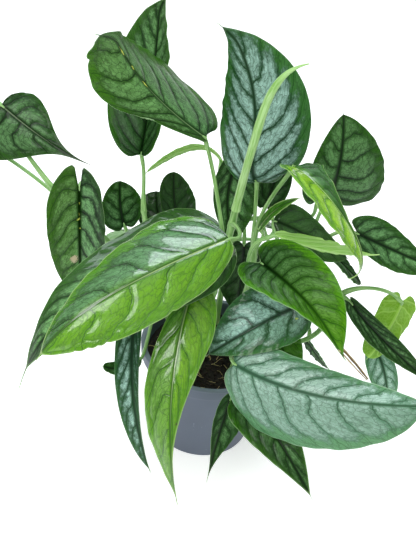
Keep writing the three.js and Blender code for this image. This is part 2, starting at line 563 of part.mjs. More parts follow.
function latheSolid(profile, segments) {
  const points = profile.map(([r, z]) => new THREE.Vector2(r, z));
  const geometry = new THREE.LatheGeometry(points, segments).rotateX(Math.PI / 2);
  return solidOfGeometry(geometry);
}

function potGeometry() {
  const under = POT_HEIGHT - RIM_DEPTH;
  const floor = FOOT_LIFT + POT_WALL;
  const ringInside = POT_BASE_RADIUS - 1 - FOOT_RING_WIDTH;
  const inner = (z) => potRadius(z) - POT_WALL;
  let solid = latheSolid([
    [0, 0], [FOOT_RADIUS, 0], [FOOT_RADIUS + FOOT_LIFT, FOOT_LIFT],
    [ringInside, FOOT_LIFT], [ringInside + FOOT_LIFT, 0], [POT_BASE_RADIUS - 1, 0], [potRadius(1), 1],
    [potRadius(under), under], [POT_RIM_RADIUS - RIM_ROUNDING / 2, under],
    [POT_RIM_RADIUS, POT_HEIGHT - RIM_ROUNDING], [POT_RIM_RADIUS - RIM_ROUNDING, POT_HEIGHT],
    [inner(POT_HEIGHT), POT_HEIGHT],
    [inner(floor), floor], [0, floor],
  ], POT_SEGMENTS);
  for (let k = 0; k < DRAIN_HOLES; k++) {
    const angle = 2 * Math.PI * (k + 0.5) / DRAIN_HOLES;
    const drill = new THREE.CylinderGeometry(DRAIN_RADIUS, DRAIN_RADIUS, 20, 8).rotateX(Math.PI / 2);
    drill.translate(DRAIN_RING_RADIUS * Math.cos(angle), DRAIN_RING_RADIUS * Math.sin(angle), 0);
    solid = solid.subtract(solidOfGeometry(drill));
  }
  return geometryOf(solid);
}

// The soil fills the pot and has a plain hole round each vine.
function soilGeometry() {
  const floor = FOOT_LIFT + POT_WALL + GAP;
  const radius = (z) => potRadius(z) - POT_WALL - GAP;
  const profile = [[0, floor], [radius(floor) - 0.2, floor], [radius(SOIL_TOP) - 0.2, SOIL_TOP]];
  for (const share of [0.86, 0.7, 0.52, 0.34, 0.17]) {
    profile.push([radius(SOIL_TOP) * share, SOIL_TOP + SOIL_CROWN * Math.cos(share * Math.PI / 2)]);
  }
  profile.push([0, SOIL_TOP + SOIL_CROWN]);
  const points = profile.map(([r, z]) => new THREE.Vector2(r, z));
  const geometry = new THREE.LatheGeometry(points, 24).rotateX(Math.PI / 2);
  const place = geometry.attributes.position;
  for (let i = 0; i < place.count; i++) {
    const [x, y, z] = [place.getX(i), place.getY(i), place.getZ(i)];
    if (z > SOIL_TOP + 0.1) place.setZ(i, z + SOIL_BUMPS * Math.sin(0.31 * x + 1) * Math.cos(0.27 * y));
  }
  let solid = solidOfGeometry(geometry);
  for (const vine of VINES) solid = solid.subtract(vineStem(vine, GAP));
  return geometryOf(solid);
}

const group = new THREE.Group();

function addPart(name, geometry, look) {
  const mesh = new THREE.Mesh(geometry, look);
  mesh.name = name;
  group.add(mesh);
}

const leaves = {};
for (const row of LEAVES) {
  const leaf = { ...LEAF_SHAPE, ...row };
  leaves[leaf.name] = { leaf, midrib: midribOf(leaf) };
}

addPart('pot', potGeometry(), potMaterial);
addPart('soil', soilGeometry(), soilMaterial);
for (const vine of VINES) addPart(vine.name, vineGeometry(vine, leaves), vineMaterial);
addPart(ROLL.name, rollGeometry(), vineMaterial);
addPart(TWIG.name, twigGeometry(), twigMaterial);
for (const { leaf, midrib } of Object.values(leaves)) {
  addPart(leaf.name, leafGeometry(leaf, midrib), bladeMaterials[leaf.tone]);
}

export default group;
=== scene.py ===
import math
from functools import partial

import bpy
import numpy as np
from mathutils import Matrix


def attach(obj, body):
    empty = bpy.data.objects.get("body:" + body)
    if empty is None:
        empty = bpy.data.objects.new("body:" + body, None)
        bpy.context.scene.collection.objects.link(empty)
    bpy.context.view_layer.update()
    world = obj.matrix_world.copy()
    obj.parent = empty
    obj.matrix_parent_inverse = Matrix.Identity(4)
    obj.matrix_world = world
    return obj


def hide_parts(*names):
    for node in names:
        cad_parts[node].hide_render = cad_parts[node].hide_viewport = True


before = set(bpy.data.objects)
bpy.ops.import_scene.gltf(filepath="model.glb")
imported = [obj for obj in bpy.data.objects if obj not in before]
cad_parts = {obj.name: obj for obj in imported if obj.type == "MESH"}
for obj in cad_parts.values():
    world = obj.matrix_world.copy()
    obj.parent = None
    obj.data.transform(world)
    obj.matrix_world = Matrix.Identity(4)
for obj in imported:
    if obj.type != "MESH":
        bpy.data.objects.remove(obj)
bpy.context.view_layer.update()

MM = 0.001
TAU = 2 * math.pi

# Pot and soil.
POT_HEIGHT = 98
POT_RIM_RADIUS = 60
POT_BASE_RADIUS = 44
POT_WALL = 1.8
RIM_DEPTH = 11
RIM_STEP = 2.6
FOOT_RADIUS = 22
FOOT_LIFT = 2
FOOT_RING_WIDTH = 4
DRAIN_HOLES = 8
DRAIN_RADIUS = 4.5
DRAIN_RING_RADIUS = 32
DRILL_REACH = 10
DRILL_SEGMENTS = 32
POT_SEGMENTS = 144
SIDE_RINGS = 14
INSIDE_RINGS = 8
SOIL_TOP = 85
SOIL_CROWN = 2.5
SOIL_SEGMENTS = 120
SOIL_RINGS = 40
SOIL_GAP = 0.3
CRUMB_HEIGHT = 0.18
CRUMB_SEED = 7
LITTER_SEGMENTS = 48
LITTER_RINGS = 14
LITTER_GAP = 5

# Leaves and stalks. Each leaf draws from its own seed, the first from LEAF_SEED.
LEAF_SEED = 100
BLADE_THICKNESS = 0.7
# The thick joint: its root lies these millimetres along the midrib and under it, and its radii run from
# there to the stalk.
JOINT_ROOT = (3, 0.7)
JOINT_RADII = (0.7, 1.3, 1.6, 1.75, 1.75, 1.6)
JOINT_DROP = 1.3
JOINT_LENGTH = 7
JOINT_SIDES = 14
JOINT_GROOVE = 0.1
STALK_RADIUS = 1.5
STALK_STEPS = 36
STALK_SIDES = 16
STALK_GROOVE = 0.22
SHEATH_RADIUS = 2.4
SHEATH_SHARE = 0.45
STALK_HUG = 0.35
STALK_APPROACH = 0.3
VINE_STEPS = 80
VINE_SIDES = 20
NODE_SWELL = 0.55
NODE_LENGTH = 0.014
STUMP_RADII = (1.8, 2.1)
STUMP_STEPS = 24
STUMP_SIDES = 14
STUMP_GROOVE = 0.15
WIDEST_ROW = 0.3
LEAST_HALF = 0.15
TIP_WIDTH = 0.12
ROW_LEAD = 1.6
ROW_BEND = 0.24
HOOK_START = 0.84
MIDRIB_STEPS = 80

# The grid of a blade: rows and columns for large blades and for small ones, and the area in square
# millimetres where the fine grid begins. Points crowd a little towards the tip and the midrib.
FINE_GRID = (76, 41)
PLAIN_GRID = (52, 27)
FINE_FROM = 3500
ROW_CROWDING = 0.95
COLUMN_CROWDING = 1.15

# Veins: how many main side veins a half blade has at least and for each 100 mm of length, how far they slant
# and arch towards the tip, where the collecting vein runs as a share of the half width, and how high the
# blade swells between them, over what distance.
LEAST_VEINS = 3.6
VEINS_PER_100 = 5.4
VEINS_AT_TIP = 1.2
VEIN_SLANT = 0.1
VEIN_ARCH = 0.2
COLLECTING = 0.79
COLLECTING_WAVE = 0.05
QUILT = 0.75
QUILT_RUN = 2.4
GLOSSY_SWELL = 0.8

# Depth or height and width in millimetres: the furrow over the midrib, and the ridges of midrib and side
# veins underneath.
FURROW = (0.45, 1.3)
RIB_RIDGE = (1.1, 1.1)
VEIN_RIDGE = (0.25, 0.8)
# The two ripples of the edge: height in millimetres and how many there are along the blade.
LONG_RIPPLE = (0.55, 5.5)
SHORT_RIPPLE = (0.35, 11)
# The share of its thickness that a blade loses at its edge, and the millimetres from the edge in which the
# swelling fades. Where a half blade is narrower than the last two, swelling and ripples are weaker.
EDGE_THINNING = 0.45
EDGE_FADE = 3
NARROW_FADE = 9
NARROW_RIPPLE_FADE = 12

# How a leaf is built. "stalk" is the way of its joint where that isn't given by its hinge. Scars are rows of
# a kind (0 yellow, 1 tan and dry, 2 brown), millimetres along and across, and two half sizes. Nicks in the
# edge are rows of the half (-1 or 1), where along the rows, how wide a share of them, and how deep in
# millimetres.
LEAF_SHAPE = dict(
    fold=[8, 8], curl=0, twist=0, skew=[0, 0], wave=[0, 3], widest=0.36, lobe=0.09, notch=0.04, sinus=0.2,
    taper=0.7, drip=0.06, hook=0, hinge=40, tone="dark", scars=[], nicks=[], look={})
# How a blade looks. "silver" is the bloom between its veins and "lime" its young tissue: the amount, how
# much more there is at the tip, and how much more on the half towards its across way. "margin" is the fresh
# green outside the collecting vein, "rib" and "rim" the pale lines of midrib and edge, "shade" how light the
# tissue is, which on the leaves inside the crown is painted shade, "gloss" how wet its skin looks, "lines"
# how strongly the veins stand out and "veins" how close they are. "top" and "under" are the tones of the two
# sides where they aren't the leaf's own; the "lit" underside is painted backlight.
LOOK = dict(silver=[0.65, -0.25, 0], lime=[0.04, 0.08, 0], margin=0.15, rib=0, rim=0.12, shade=0.9,
    gloss=0.2, lines=1, veins=1)
TONE_LOOKS = {
    "dark": {},
    "silver": dict(silver=[0.95, -0.1, 0], shade=1.0),
    "young": dict(silver=[0.4, 0, 0], lime=[0.65, 0.15, 0], rib=0.3, rim=0.4, shade=1, gloss=0.9),
}
LEAVES = {
    # Upper left.
    "leaf_01": dict(rib=[[-23, 6, 292], [-69, -3, 333], [-95, -9, 378]], face=[0.41, -0.38, 0.83],
        width=79.4, fold=[-12, -16], curl=-15, twist=-1, skew=[1.12, -0.62], widest=0.39, lobe=0.14,
        taper=0.53, hook=-20, stalk=[0.36, 0, -1], scars=[[0, 62, 0, 3, 0.7], [0, 76, 0.3, 2.2, 0.6],
        [0, 90, 0, 3.5, 0.7]], nicks=[[-1, 0.93, 0.012, 2.4], [-1, 0.86, 0.012, 1.6]],
        look=dict(silver=[0.6, -0.1, -0.1], lime=[0.1, 0.15, -0.06], margin=0.3, rib=0.5, shade=0.86,
        gloss=0.35, veins=0.85)),
    "leaf_02": dict(rib=[[-75, 52, 244], [-72, 86, 301], [-69, 72, 372]], face=[-0.5, -0.75, 0.3],
        width=63.2, fold=[30, 22], skew=[-0.11, -0.04], widest=0.33, lobe=0.04, taper=0.91, hook=7,
        look=dict(silver=[0.15, 0.8, 0], margin=0.25, shade=0.85, gloss=0.1)),
    "leaf_03": dict(rib=[[-176, 15, 293], [-136, 5, 271], [-104, 0, 260]], face=[0, -0.8, 0.6], width=60,
        fold=[-8, 4], curl=-15, skew=[0.39, -0.02], widest=0.16, lobe=0.03, taper=4.57, drip=0,
        look=dict(silver=[0.55, 0, 0], lime=[0.04, 0.1, 0], rib=0.4, rim=0.2, shade=0.66)),
    "leaf_04": dict(rib=[[-110, -25, 256], [-107, -38, 216], [-105, -45, 172]], face=[0.05, -0.95, 0.31],
        width=47, fold=[30, 20], skew=[0.12, -0.04], widest=0.26, lobe=0.2, sinus=0.09, taper=0.4, hinge=80,
        scars=[[0, 12, 0, 0.7, 0.6], [0, 20, 0.3, 0.8, 0.6], [0, 24, 0.8, 1.3, 1.2],
        [0, 31, -0.3, 0.6, 0.5], [0, 38, 0, 0.5, 0.5], [1, 55, 4.5, 3.8, 3.6]],
        look=dict(silver=[0.9, 0, -0.15], lime=[0.16, -0.1, 0.2], shade=0.66, gloss=0.35)),
    # Front left.
    "leaf_05": dict(rib=[[2, -75, 262], [-75, -128, 239], [-114, -150, 199]], face=[-0.1, -0.56, 0.8],
        width=69, fold=[-18, -18], curl=-10, skew=[0.45, -0.34], widest=0.24, lobe=0.02, taper=0.72,
        stalk=[0.5, 0.6, -0.3], tone="young", nicks=[[-1, 0.72, 0.01, 1.0], [-1, 0.76, 0.008, 0.8],
        [-1, 0.8, 0.009, 1.1], [-1, 0.85, 0.008, 0.8], [-1, 0.42, 0.01, 1.3]],
        look=dict(silver=[0.3, 0, 0.1], lime=[0.5, 0.1, -0.5], margin=0.6, rib=0.6, rim=0.5, gloss=1,
        veins=0.6)),
    "leaf_06": dict(rib=[[-2, -41, 237], [-58, -80, 220], [-103, -110, 204], [-134, -124, 144]],
        face=[-0.1, -0.55, 0.8], width=76, fold=[-10, -10], skew=[0.24, 0.12], widest=0.13, lobe=0.04,
        taper=1.09, drip=0.12, look=dict(silver=[0.6, 0.25, 0], rim=0.4, shade=0.85, gloss=0.5)),
    # leaf_07's bright lime is partly young tissue and partly painted light shining through it.
    "leaf_07": dict(rib=[[-20, -76, 208], [-24, -132, 157], [-11, -165, 87]], face=[-0.06, -0.85, 0.53],
        width=37.7, fold=[-10, -16], twist=-21, skew=[-0.84, 1.29], widest=0.21, lobe=0.1, taper=1.29,
        hinge=80, tone="young", scars=[[2, 92, -4, 1.3, 1.1]], look=dict(silver=[0.45, 0, 0],
        lime=[0.75, 0.2, -0.2], margin=0.4, rib=0.5, gloss=1, veins=0.65)),
    "leaf_08": dict(rib=[[-57, -90, 199], [-52, -118, 142], [-34, -130, 74]], face=[0, -0.85, 0.5],
        width=18, fold=[-8, 20], skew=[0.14, 0.81], widest=0.18, taper=0.83, hinge=80, tone="silver",
        scars=[[2, 134, 0, 5, 3]], look=dict(silver=[1, 0, 0], shade=1.1)),
    # Crown.
    "leaf_09": dict(rib=[[19, 15, 254], [13, 12, 282], [8, 22, 321], [-20, 35, 371]],
        face=[-0.4, -0.8, 0.4], width=74, fold=[-8, -8], curl=-20, skew=[0.05, 0.23], widest=0.37,
        lobe=0.07, taper=1.03, hook=-7, stalk=[0.1, -0.15, -1], tone="silver",
        look=dict(silver=[0.95, -0.2, 0], margin=0.2, shade=0.95, veins=0.85)),
    "leaf_10": dict(rib=[[22, 62, 222], [26, 88, 262], [26, 112, 290]], face=[0, 0.6, 0.8], width=44),
    "leaf_11": dict(rib=[[4, 42, 259], [-1, 28, 227], [9, 12, 197]], face=[0, -0.8, 0.6], width=37,
        skew=[-0.29, -0.41], widest=0.35, taper=0.55, hinge=80, look=dict(silver=[0.6, 0, 0], shade=0.7)),
    "leaf_12": dict(rib=[[72, 48, 223], [82, 74, 239], [91, 96, 245]], face=[0.2, 0.6, 0.8], width=32,
        skew=[0.18, -0.4], widest=0.16, lobe=0.12, taper=0.86),
    "leaf_13": dict(rib=[[79, 28, 244], [81, 33, 277], [77, 45, 308]], face=[0, -0.95, 0.3], width=63,
        fold=[-8, -8], curl=-15, skew=[0.36, 0.28], widest=0.13, lobe=0.16, taper=0.72,
        look=dict(silver=[0.5, -0.1, 0], shade=0.85)),
    "leaf_14": dict(rib=[[42, -10, 286], [67, -36, 281], [93, -58, 257], [89, -72, 238]],
        face=[0.53, -0.29, 0.8], width=44, fold=[6, 20], twist=-25, skew=[-0.58, 1.6], widest=0.12,
        lobe=0.03, taper=1.24, stalk=[-0.45, 0, -1], tone="young", look=dict(silver=[0.7, 0, 0.5],
        lime=[0.5, 0.35, 0.5], margin=0, rib=0.8, rim=0.4, gloss=0.7, lines=0.5)),
    # Right of the middle.
    "leaf_15": dict(rib=[[36, -32, 241], [76, -48, 243], [110, -50, 247]], face=[0.06, 0.77, 0.64],
        width=29, fold=[10, 10], skew=[0.06, 0.44], widest=0.47, lobe=0, taper=1.56,
        look=dict(lime=[0.4, 0.3, 0], under="young")),
    "leaf_16": dict(rib=[[35, -12, 239], [58, -12, 231], [98, -14, 213]], face=[0, -0.6, 0.8], width=32,
        skew=[-0.32, 0.44], widest=0.22, lobe=0, taper=0.68, stalk=[0.2, 0.1, -1],
        look=dict(lime=[0.1, 0.1, 0], silver=[0.15, 0, 0], shade=0.8, gloss=0.5)),
    "leaf_17": dict(rib=[[27, -60, 234], [66, -97, 226], [91, -112, 194]], face=[0.1, -0.68, 0.73],
        width=49, fold=[28, 18], twist=18, skew=[0.24, -0.85], widest=0.17, lobe=0.12, taper=1.34, hook=-4,
        stalk=[-0.2, 0.7, -0.7], scars=[[2, 93, 0, 2.5, 1.6], [1, 88, 0.5, 2.0, 1.5]],
        look=dict(silver=[0.3, 0.2, 0], lime=[0.05, 1.1, 0], margin=0.75, rim=0.3, shade=0.8, gloss=0.12,
        veins=1.5)),
    # The extra bloom on leaf_18's upper half is partly bloom and partly a painted highlight.
    "leaf_18": dict(rib=[[63, -40, 183], [32, -62, 176], [-4, -72, 148]], face=[-0.1, -0.6, 0.8], width=52,
        skew=[-0.01, 0.22], widest=0.29, taper=0.92, tone="silver", scars=[[0, 10, -9, 1.3, 1.2]],
        look=dict(silver=[0.8, 0, 0.2], lime=[0.06, -0.05, -0.06], margin=0.1, shade=1, gloss=0.45,
        lines=0.9, veins=0.7, top="silver")),
    # leaf_19's paler upper half is partly bloom and partly a painted highlight.
    "leaf_19": dict(rib=[[18, -80, 152], [81, -108, 157], [162, -112, 165]], face=[-0.16, -0.76, 0.63],
        width=73, fold=[-20, -20], curl=-10, twist=11, skew=[0.27, 0.43], widest=0.22, lobe=0.06,
        taper=0.54, tone="silver", look=dict(silver=[0.95, -0.15, -0.4], lime=[0.02, 0.08, 0], rim=0.5,
        shade=0.95, gloss=0.4, lines=0.8, veins=0.75, top="pale")),
    "leaf_20": dict(rib=[[29, -68, 115], [58, -103, 103], [91, -136, 73]], face=[0, -0.6, 0.8], width=40.5,
        skew=[0.29, -0.14], widest=0.2, lobe=0, taper=1.12, look=dict(silver=[0.2, 0.5, 0],
        lime=[0.08, 0, 0], margin=0.3, rim=0.5, shade=0.8)),
    "leaf_21": dict(rib=[[21, -70, 105], [14, -92, 75], [10, -108, 44]], face=[0.22, -0.8, 0.52],
        width=23.4, skew=[-0.22, -0.35], widest=0.21, lobe=0.07, taper=2.2, stalk=[0, 0.6, 0.8],
        look=dict(silver=[0.3, 0.5, 0], margin=0.08, shade=0.8)),
    # Far right.
    "leaf_22": dict(rib=[[106, -20, 176], [141, -25, 143], [194, -30, 103]], face=[-0.3, -0.5, 0.8],
        width=20, fold=[16, 16], skew=[0.35, -0.4], widest=0.33, taper=1.21, look=dict(silver=[0.9, 0, 0],
        shade=0.85)),
    "leaf_23": dict(rib=[[101, 3, 227], [133, -2, 218], [170, -10, 210]], face=[0, -0.6, 0.8], width=34,
        skew=[-0.36, 0.5], widest=0.28, lobe=0.13, taper=0.82, look=dict(silver=[0.55, 0, 0], shade=0.85)),
    "leaf_24": dict(rib=[[75, -1, 215], [91, -5, 205], [113, -9, 187]], face=[0.4, -0.2, 0.9], width=15.3,
        skew=[-0.17, 0.47], widest=0.47, lobe=0.06, taper=0.42),
    # leaf_25's lime is partly young tissue and partly painted light shining through it; its lit underside is
    # painted backlight.
    "leaf_25": dict(rib=[[150, -2, 169], [143, -10, 142], [131, -16, 114]], face=[0.2, 0.8, 0.3], width=30,
        fold=[20, 10], skew=[-0.01, -0.08], widest=0.12, lobe=0.13, taper=0.31, stalk=[-0.8, 0.1, 0.6],
        tone="young", look=dict(silver=[0.1, 0, 0], lime=[0.95, 0, 0], under="lit")),
    "leaf_26": dict(rib=[[142, 2, 111], [155, -4, 86], [167, 0, 44]], face=[0, -0.8, 0.5], width=25,
        skew=[0.25, -0.07], widest=0.25, lobe=0.11, taper=0.65, hinge=70, tone="silver",
        look=dict(silver=[0.9, 0, 0], shade=1.1, top="pale")),
    "leaf_27": dict(rib=[[50, -32, 151], [60, -42, 132], [76, -48, 110]], face=[0, -0.8, 0.5], width=29,
        skew=[-0.19, 0.02], widest=0.33, taper=0.93, look=dict(silver=[0.1, 0, 0], lime=[0.5, 0, 0],
        shade=0.8)),
    "leaf_28": dict(rib=[[79, -19, 130], [91, -22, 115], [101, -25, 106]], face=[-0.8, -0.1, 0.5], width=17,
        skew=[0.06, -0.03], widest=0.31, lobe=0.1, taper=0.63),
    # Behind and between. The leaves inside the crown are darkened with painted shade.
    "leaf_29": dict(rib=[[-2, 76, 168], [-7, 107, 142], [-9, 124, 95]], face=[0.05, 0.9, 0.5], width=47,
        look=dict(silver=[0.3, 0, 0], shade=0.7)),
    "leaf_30": dict(rib=[[-83, 30, 188], [-89, 43, 200], [-91, 53, 218]], face=[0, -0.9, 0.3], width=35.4,
        skew=[0.01, 0.21], widest=0.33, lobe=0.12, taper=0.48, look=dict(silver=[0.5, 0, 0], shade=0.6,
        gloss=0)),
    "leaf_31": dict(rib=[[-52, 42, 178], [-58, 52, 191], [-62, 62, 206]], face=[-0.3, -0.8, 0.3], width=36,
        fold=[20, 20], skew=[0.04, 0.01], widest=0.46, taper=0.43, look=dict(silver=[0.1, 0, 0],
        shade=0.5)),
    "leaf_32": dict(rib=[[-37, 26, 193], [-44, 38, 214], [-47, 48, 236]], face=[0, -0.9, 0.4], width=29,
        skew=[0.31, -0.02], widest=0.47, taper=0.48, look=dict(silver=[0.1, 0, 0], shade=0.5)),
    "leaf_33": dict(rib=[[-9, 60, 243], [-35, 70, 246], [-72, 60, 222]], face=[0, 0.8, 0.5], width=10,
        skew=[-0.05, 0.17], widest=0.37, taper=0.45, look=dict(lime=[0.4, 0, 0], under="young")),
    "leaf_34": dict(rib=[[44, 70, 176], [66, 100, 150], [78, 112, 104]], face=[0.3, 0.8, 0.4], width=42),
    "leaf_35": dict(rib=[[25, -9, 228], [35, -12, 249], [52, -10, 261]], face=[-0.44, -0.5, 0.74], width=9,
        skew=[0.05, -0.04], widest=0.35, lobe=0.08, taper=0.74, tone="young", look=dict(silver=[0.5, 0, 0],
        lime=[0.3, 0, 0], gloss=0.2)),
    "leaf_36": dict(rib=[[31, 44, 215], [36, 54, 235], [43, 64, 258]], face=[0, -0.9, 0.4], width=28,
        look=dict(silver=[0.3, 0, 0], shade=0.65)),
    "leaf_37": dict(rib=[[-58, -40, 105], [-70, -52, 105], [-85, -58, 111]], face=[0, -0.5, 0.9], width=13,
        skew=[-0.02, 0], taper=0.32),
    "leaf_38": dict(rib=[[-186, 20, 252], [-209, 18, 250], [-232, 13, 240]], face=[0.04, -0.5, 0.9],
        width=35),
    # leaf_39 and leaf_40 fill the dim inside of the crown and are darkened with painted shade.
    "leaf_39": dict(rib=[[-52, 62, 156], [-84, 86, 144], [-112, 92, 108]], face=[-0.3, 0.5, 0.8], width=44,
        look=dict(silver=[0.3, 0, 0], shade=0.6)),
    "leaf_40": dict(rib=[[17, 22, 190], [19, 24, 156], [19, 20, 116]], face=[0, -0.9, 0.3], width=42,
        look=dict(silver=[0.3, 0, 0], shade=0.55)),
}
VINES = {
    "vine_left": dict(points=[[-16, 6, 60], [-46, 10, 124], [-84, 4, 180], [-120, -8, 226]],
        radius=[3, 2.2], stalks=[[0.99, "leaf_03"], [0.9, "leaf_38"], [0.8, "leaf_04"], [0.6, "leaf_30"],
        [0.32, "leaf_37"]]),
    "vine_back_left": dict(points=[[-10, 22, 60], [-34, 30, 120], [-56, 32, 165], [-68, 32, 205]],
        radius=[3, 2.2], stalks=[[0.99, "leaf_02"], [0.6, "leaf_31"], [0.7, "leaf_32"]]),
    "vine_centre": dict(points=[[6, 4, 60], [16, 2, 112], [24, 0, 158], [24, 4, 200]], radius=[3.6, 2.8],
        stalks=[[0.99, "leaf_09"], [0.94, "leaf_35"], [0.97, "leaf_14"]]),
    "vine_front_left": dict(points=[[-6, -16, 60], [-8, -24, 124], [-2, -26, 188], [5, -22, 251]],
        radius=[3.2, 2.8], stalks=[[0.93, "leaf_05", 0.1], [0.78, "leaf_01", 0.1], [0.72, "leaf_06"],
        [0.6, "leaf_07"], [0.48, "leaf_08"]]),
    "vine_right": dict(points=[[24, 6, 60], [42, 6, 112], [56, 4, 156], [64, 2, 198]], radius=[3.2, 2.4],
        stalks=[[0.99, "leaf_13"], [0.86, "leaf_23"], [0.74, "leaf_24"], [0.8, "leaf_16"],
        [0.6, "leaf_36"]]),
    "vine_front_right": dict(points=[[16, -18, 60], [20, -28, 92], [24, -36, 124], [30, -34, 158]],
        radius=[3.2, 2.6], stalks=[[0.99, "leaf_17"], [0.9, "leaf_15"], [0.6, "leaf_19"], [0.36, "leaf_20"],
        [0.28, "leaf_21"], [0.75, "leaf_27"]]),
    "vine_far_right": dict(points=[[30, -4, 60], [44, -4, 108], [74, -6, 146], [99, -12, 178]],
        radius=[3, 2.2], stalks=[[0.99, "leaf_25"], [0.9, "leaf_22"], [0.8, "leaf_26"], [0.6, "leaf_18"],
        [0.5, "leaf_28"]], stump=[[44, -4, 108], [58, -20, 124], [73, -31, 140], [85, -34, 158]]),
    "vine_back": dict(points=[[2, 32, 60], [4, 46, 106], [6, 56, 150], [12, 60, 190]], radius=[3, 2.4],
        stalks=[[0.99, "leaf_10"], [0.97, "leaf_11"], [0.94, "leaf_33"], [0.8, "leaf_29"], [0.7, "leaf_39"],
        [0.76, "leaf_34"], [0.9, "leaf_12"], [0.84, "leaf_40"]]),
}
ROLL = dict(
    points=[[5, -22, 251], [9, -26, 293], [13, -32, 329], [19, -38, 359], [37, -44, 379]],
    radii=[2.8, 3, 3.2, 2.6, 0.4], steps=72, sides=28)
# The straw-coloured strands of the twig: the way each frays from the dark one, and its share of the radius.
TWIG = dict(
    points=[[85, -34, 158], [107, -38, 140], [130, -42, 117]], radius=[1.4, 0.7], steps=40, sides=12,
    frays=[[[-0.9, -0.6, -1.0], 0.62], [[0.7, -0.8, 0.6], 0.4]], fray_start=4, fray_reach=1.7)

# The nodes in use: type, settings, the inputs that take the given values in turn, and the output that is
# the result.
IN_TURN = range(5)
EVERY = slice(None)
NODES = {
    "range": ("ShaderNodeMapRange", {}, IN_TURN, 0),
    "smooth": ("ShaderNodeMapRange", {"interpolation_type": "SMOOTHSTEP"}, IN_TURN, 0),
    "mix": ("ShaderNodeMix", {"data_type": "RGBA"}, (0, 6, 7), 2),
    "noise": ("ShaderNodeTexNoise", {}, ("Vector", "Scale", "Detail", "Roughness"), 0),
    "cells": ("ShaderNodeTexVoronoi", {}, ("Vector", "Scale"), 0),
    "meshes": ("ShaderNodeTexVoronoi", {"feature": "DISTANCE_TO_EDGE"}, ("Vector", "Scale"), 0),
    "attribute": ("ShaderNodeAttribute", {}, (), "Vector"),
    "place": ("ShaderNodeTexCoord", {}, (), "Object"),
    "mapped": ("ShaderNodeMapping", {}, (0, "Rotation", "Scale"), 0),
    "split": ("ShaderNodeSeparateXYZ", {}, IN_TURN, EVERY),
    "vector": ("ShaderNodeCombineXYZ", {}, IN_TURN, 0),
    "scaled": ("ShaderNodeVectorMath", {"operation": "SCALE"}, (0, "Scale"), 0),
    "bump": ("ShaderNodeBump", {}, ("Height", "Strength", "Distance"), 0),
    "surface": ("ShaderNodeBsdfPrincipled", {}, (
        "Base Color", "Roughness", "Normal", "IOR", "Specular IOR Level", "Coat Weight",
        "Coat Roughness"), 0),
    "board": ("ShaderNodeBsdfPrincipled", {}, (
        "Base Color", "Roughness", "Emission Color", "Emission Strength"), 0),
    "material": ("ShaderNodeOutputMaterial", {}, IN_TURN, EVERY),
    "background": ("ShaderNodeBackground", {}, IN_TURN, 0),
    "world": ("ShaderNodeOutputWorld", {}, IN_TURN, EVERY),
    "given": ("NodeGroupInput", {}, (), EVERY),
    "dots": ("GeometryNodeDistributePointsOnFaces", {}, ("Mesh", "Density", "Seed"), "Points"),
    "bow": ("GeometryNodeCurvePrimitiveBezierSegment", {}, (
        "Resolution", "Start", "Start Handle", "End Handle", "End"), 0),
    "circle": ("GeometryNodeCurvePrimitiveCircle", {}, ("Resolution", "Radius"), 0),
    "resized": ("GeometryNodeTransform", {}, ("Geometry", "Scale"), 0),
    "swept": ("GeometryNodeCurveToMesh", {}, ("Curve", "Profile Curve", "Fill Caps"), 0),
    "ball": ("GeometryNodeMeshIcoSphere", {}, ("Radius", "Subdivisions"), 0),
    "turns": ("FunctionNodeRandomValue", {"data_type": "FLOAT_VECTOR"}, ("Min", "Max", "Seed"), 0),
    "sizes": ("FunctionNodeRandomValue", {"data_type": "FLOAT"}, (2, 3, "Seed"), 1),
    "copies": ("GeometryNodeInstanceOnPoints", {}, ("Points", "Instance", "Rotation", "Scale"), 0),
    "real": ("GeometryNodeRealizeInstances", {}, ("Geometry",), 0),
    "position": ("GeometryNodeInputPosition", {}, (), 0),
    "shifted": ("GeometryNodeSetPosition", {}, ("Geometry", "Offset"), 0),
    "finished": ("GeometryNodeSetMaterial", {}, ("Geometry", "Material"), 0),
    "handed_on": ("NodeGroupOutput", {}, IN_TURN, EVERY),
}
for short, operation in (("plus", "ADD"), ("times", "MULTIPLY"), ("over", "DIVIDE"), ("larger", "MAXIMUM"),
                         ("size", "ABSOLUTE"), ("to_and_fro", "PINGPONG"), ("times_plus", "MULTIPLY_ADD")):
    NODES[short] = ("ShaderNodeMath", {"operation": operation}, IN_TURN, 0)
for short, operation in (("moved", "ADD"), ("less", "SUBTRACT"), ("stretched", "MULTIPLY")):
    NODES[short] = ("ShaderNodeVectorMath", {"operation": operation}, IN_TURN, 0)


def add(tree, short, *values, **settings):
    """Adds a node of the table and returns its result; a value is plain or the output that feeds it."""
    kind, fixed, places, result = NODES[short]
    made = tree.nodes.new(kind)
    for key, value in {**fixed, **settings}.items():
        setattr(made, key, value)
    for place, value in zip(places, values):
        if isinstance(value, bpy.types.NodeSocket):
            tree.links.new(value, made.inputs[place])
        else:
            made.inputs[place].default_value = value
    return made.outputs[result]


def new_material(name):
    """An empty material, and the helper that adds nodes to it."""
    material = bpy.data.materials.new(name)
    material.use_nodes = True
    material.node_tree.nodes.clear()
    return material, partial(add, material.node_tree)


def linear(hex_colour):
    """The linear RGBA of an sRGB hex colour."""
    parts = [int(hex_colour[i:i + 2], 16) / 255 for i in (1, 3, 5)]
    return [p / 12.92 if p <= 0.04045 else ((p + 0.055) / 1.055) ** 2.4 for p in parts] + [1.0]


def unit(vectors):
    vectors = np.asarray(vectors, float)
    return vectors / np.maximum(np.linalg.norm(vectors, axis=-1, keepdims=True), 1e-12)


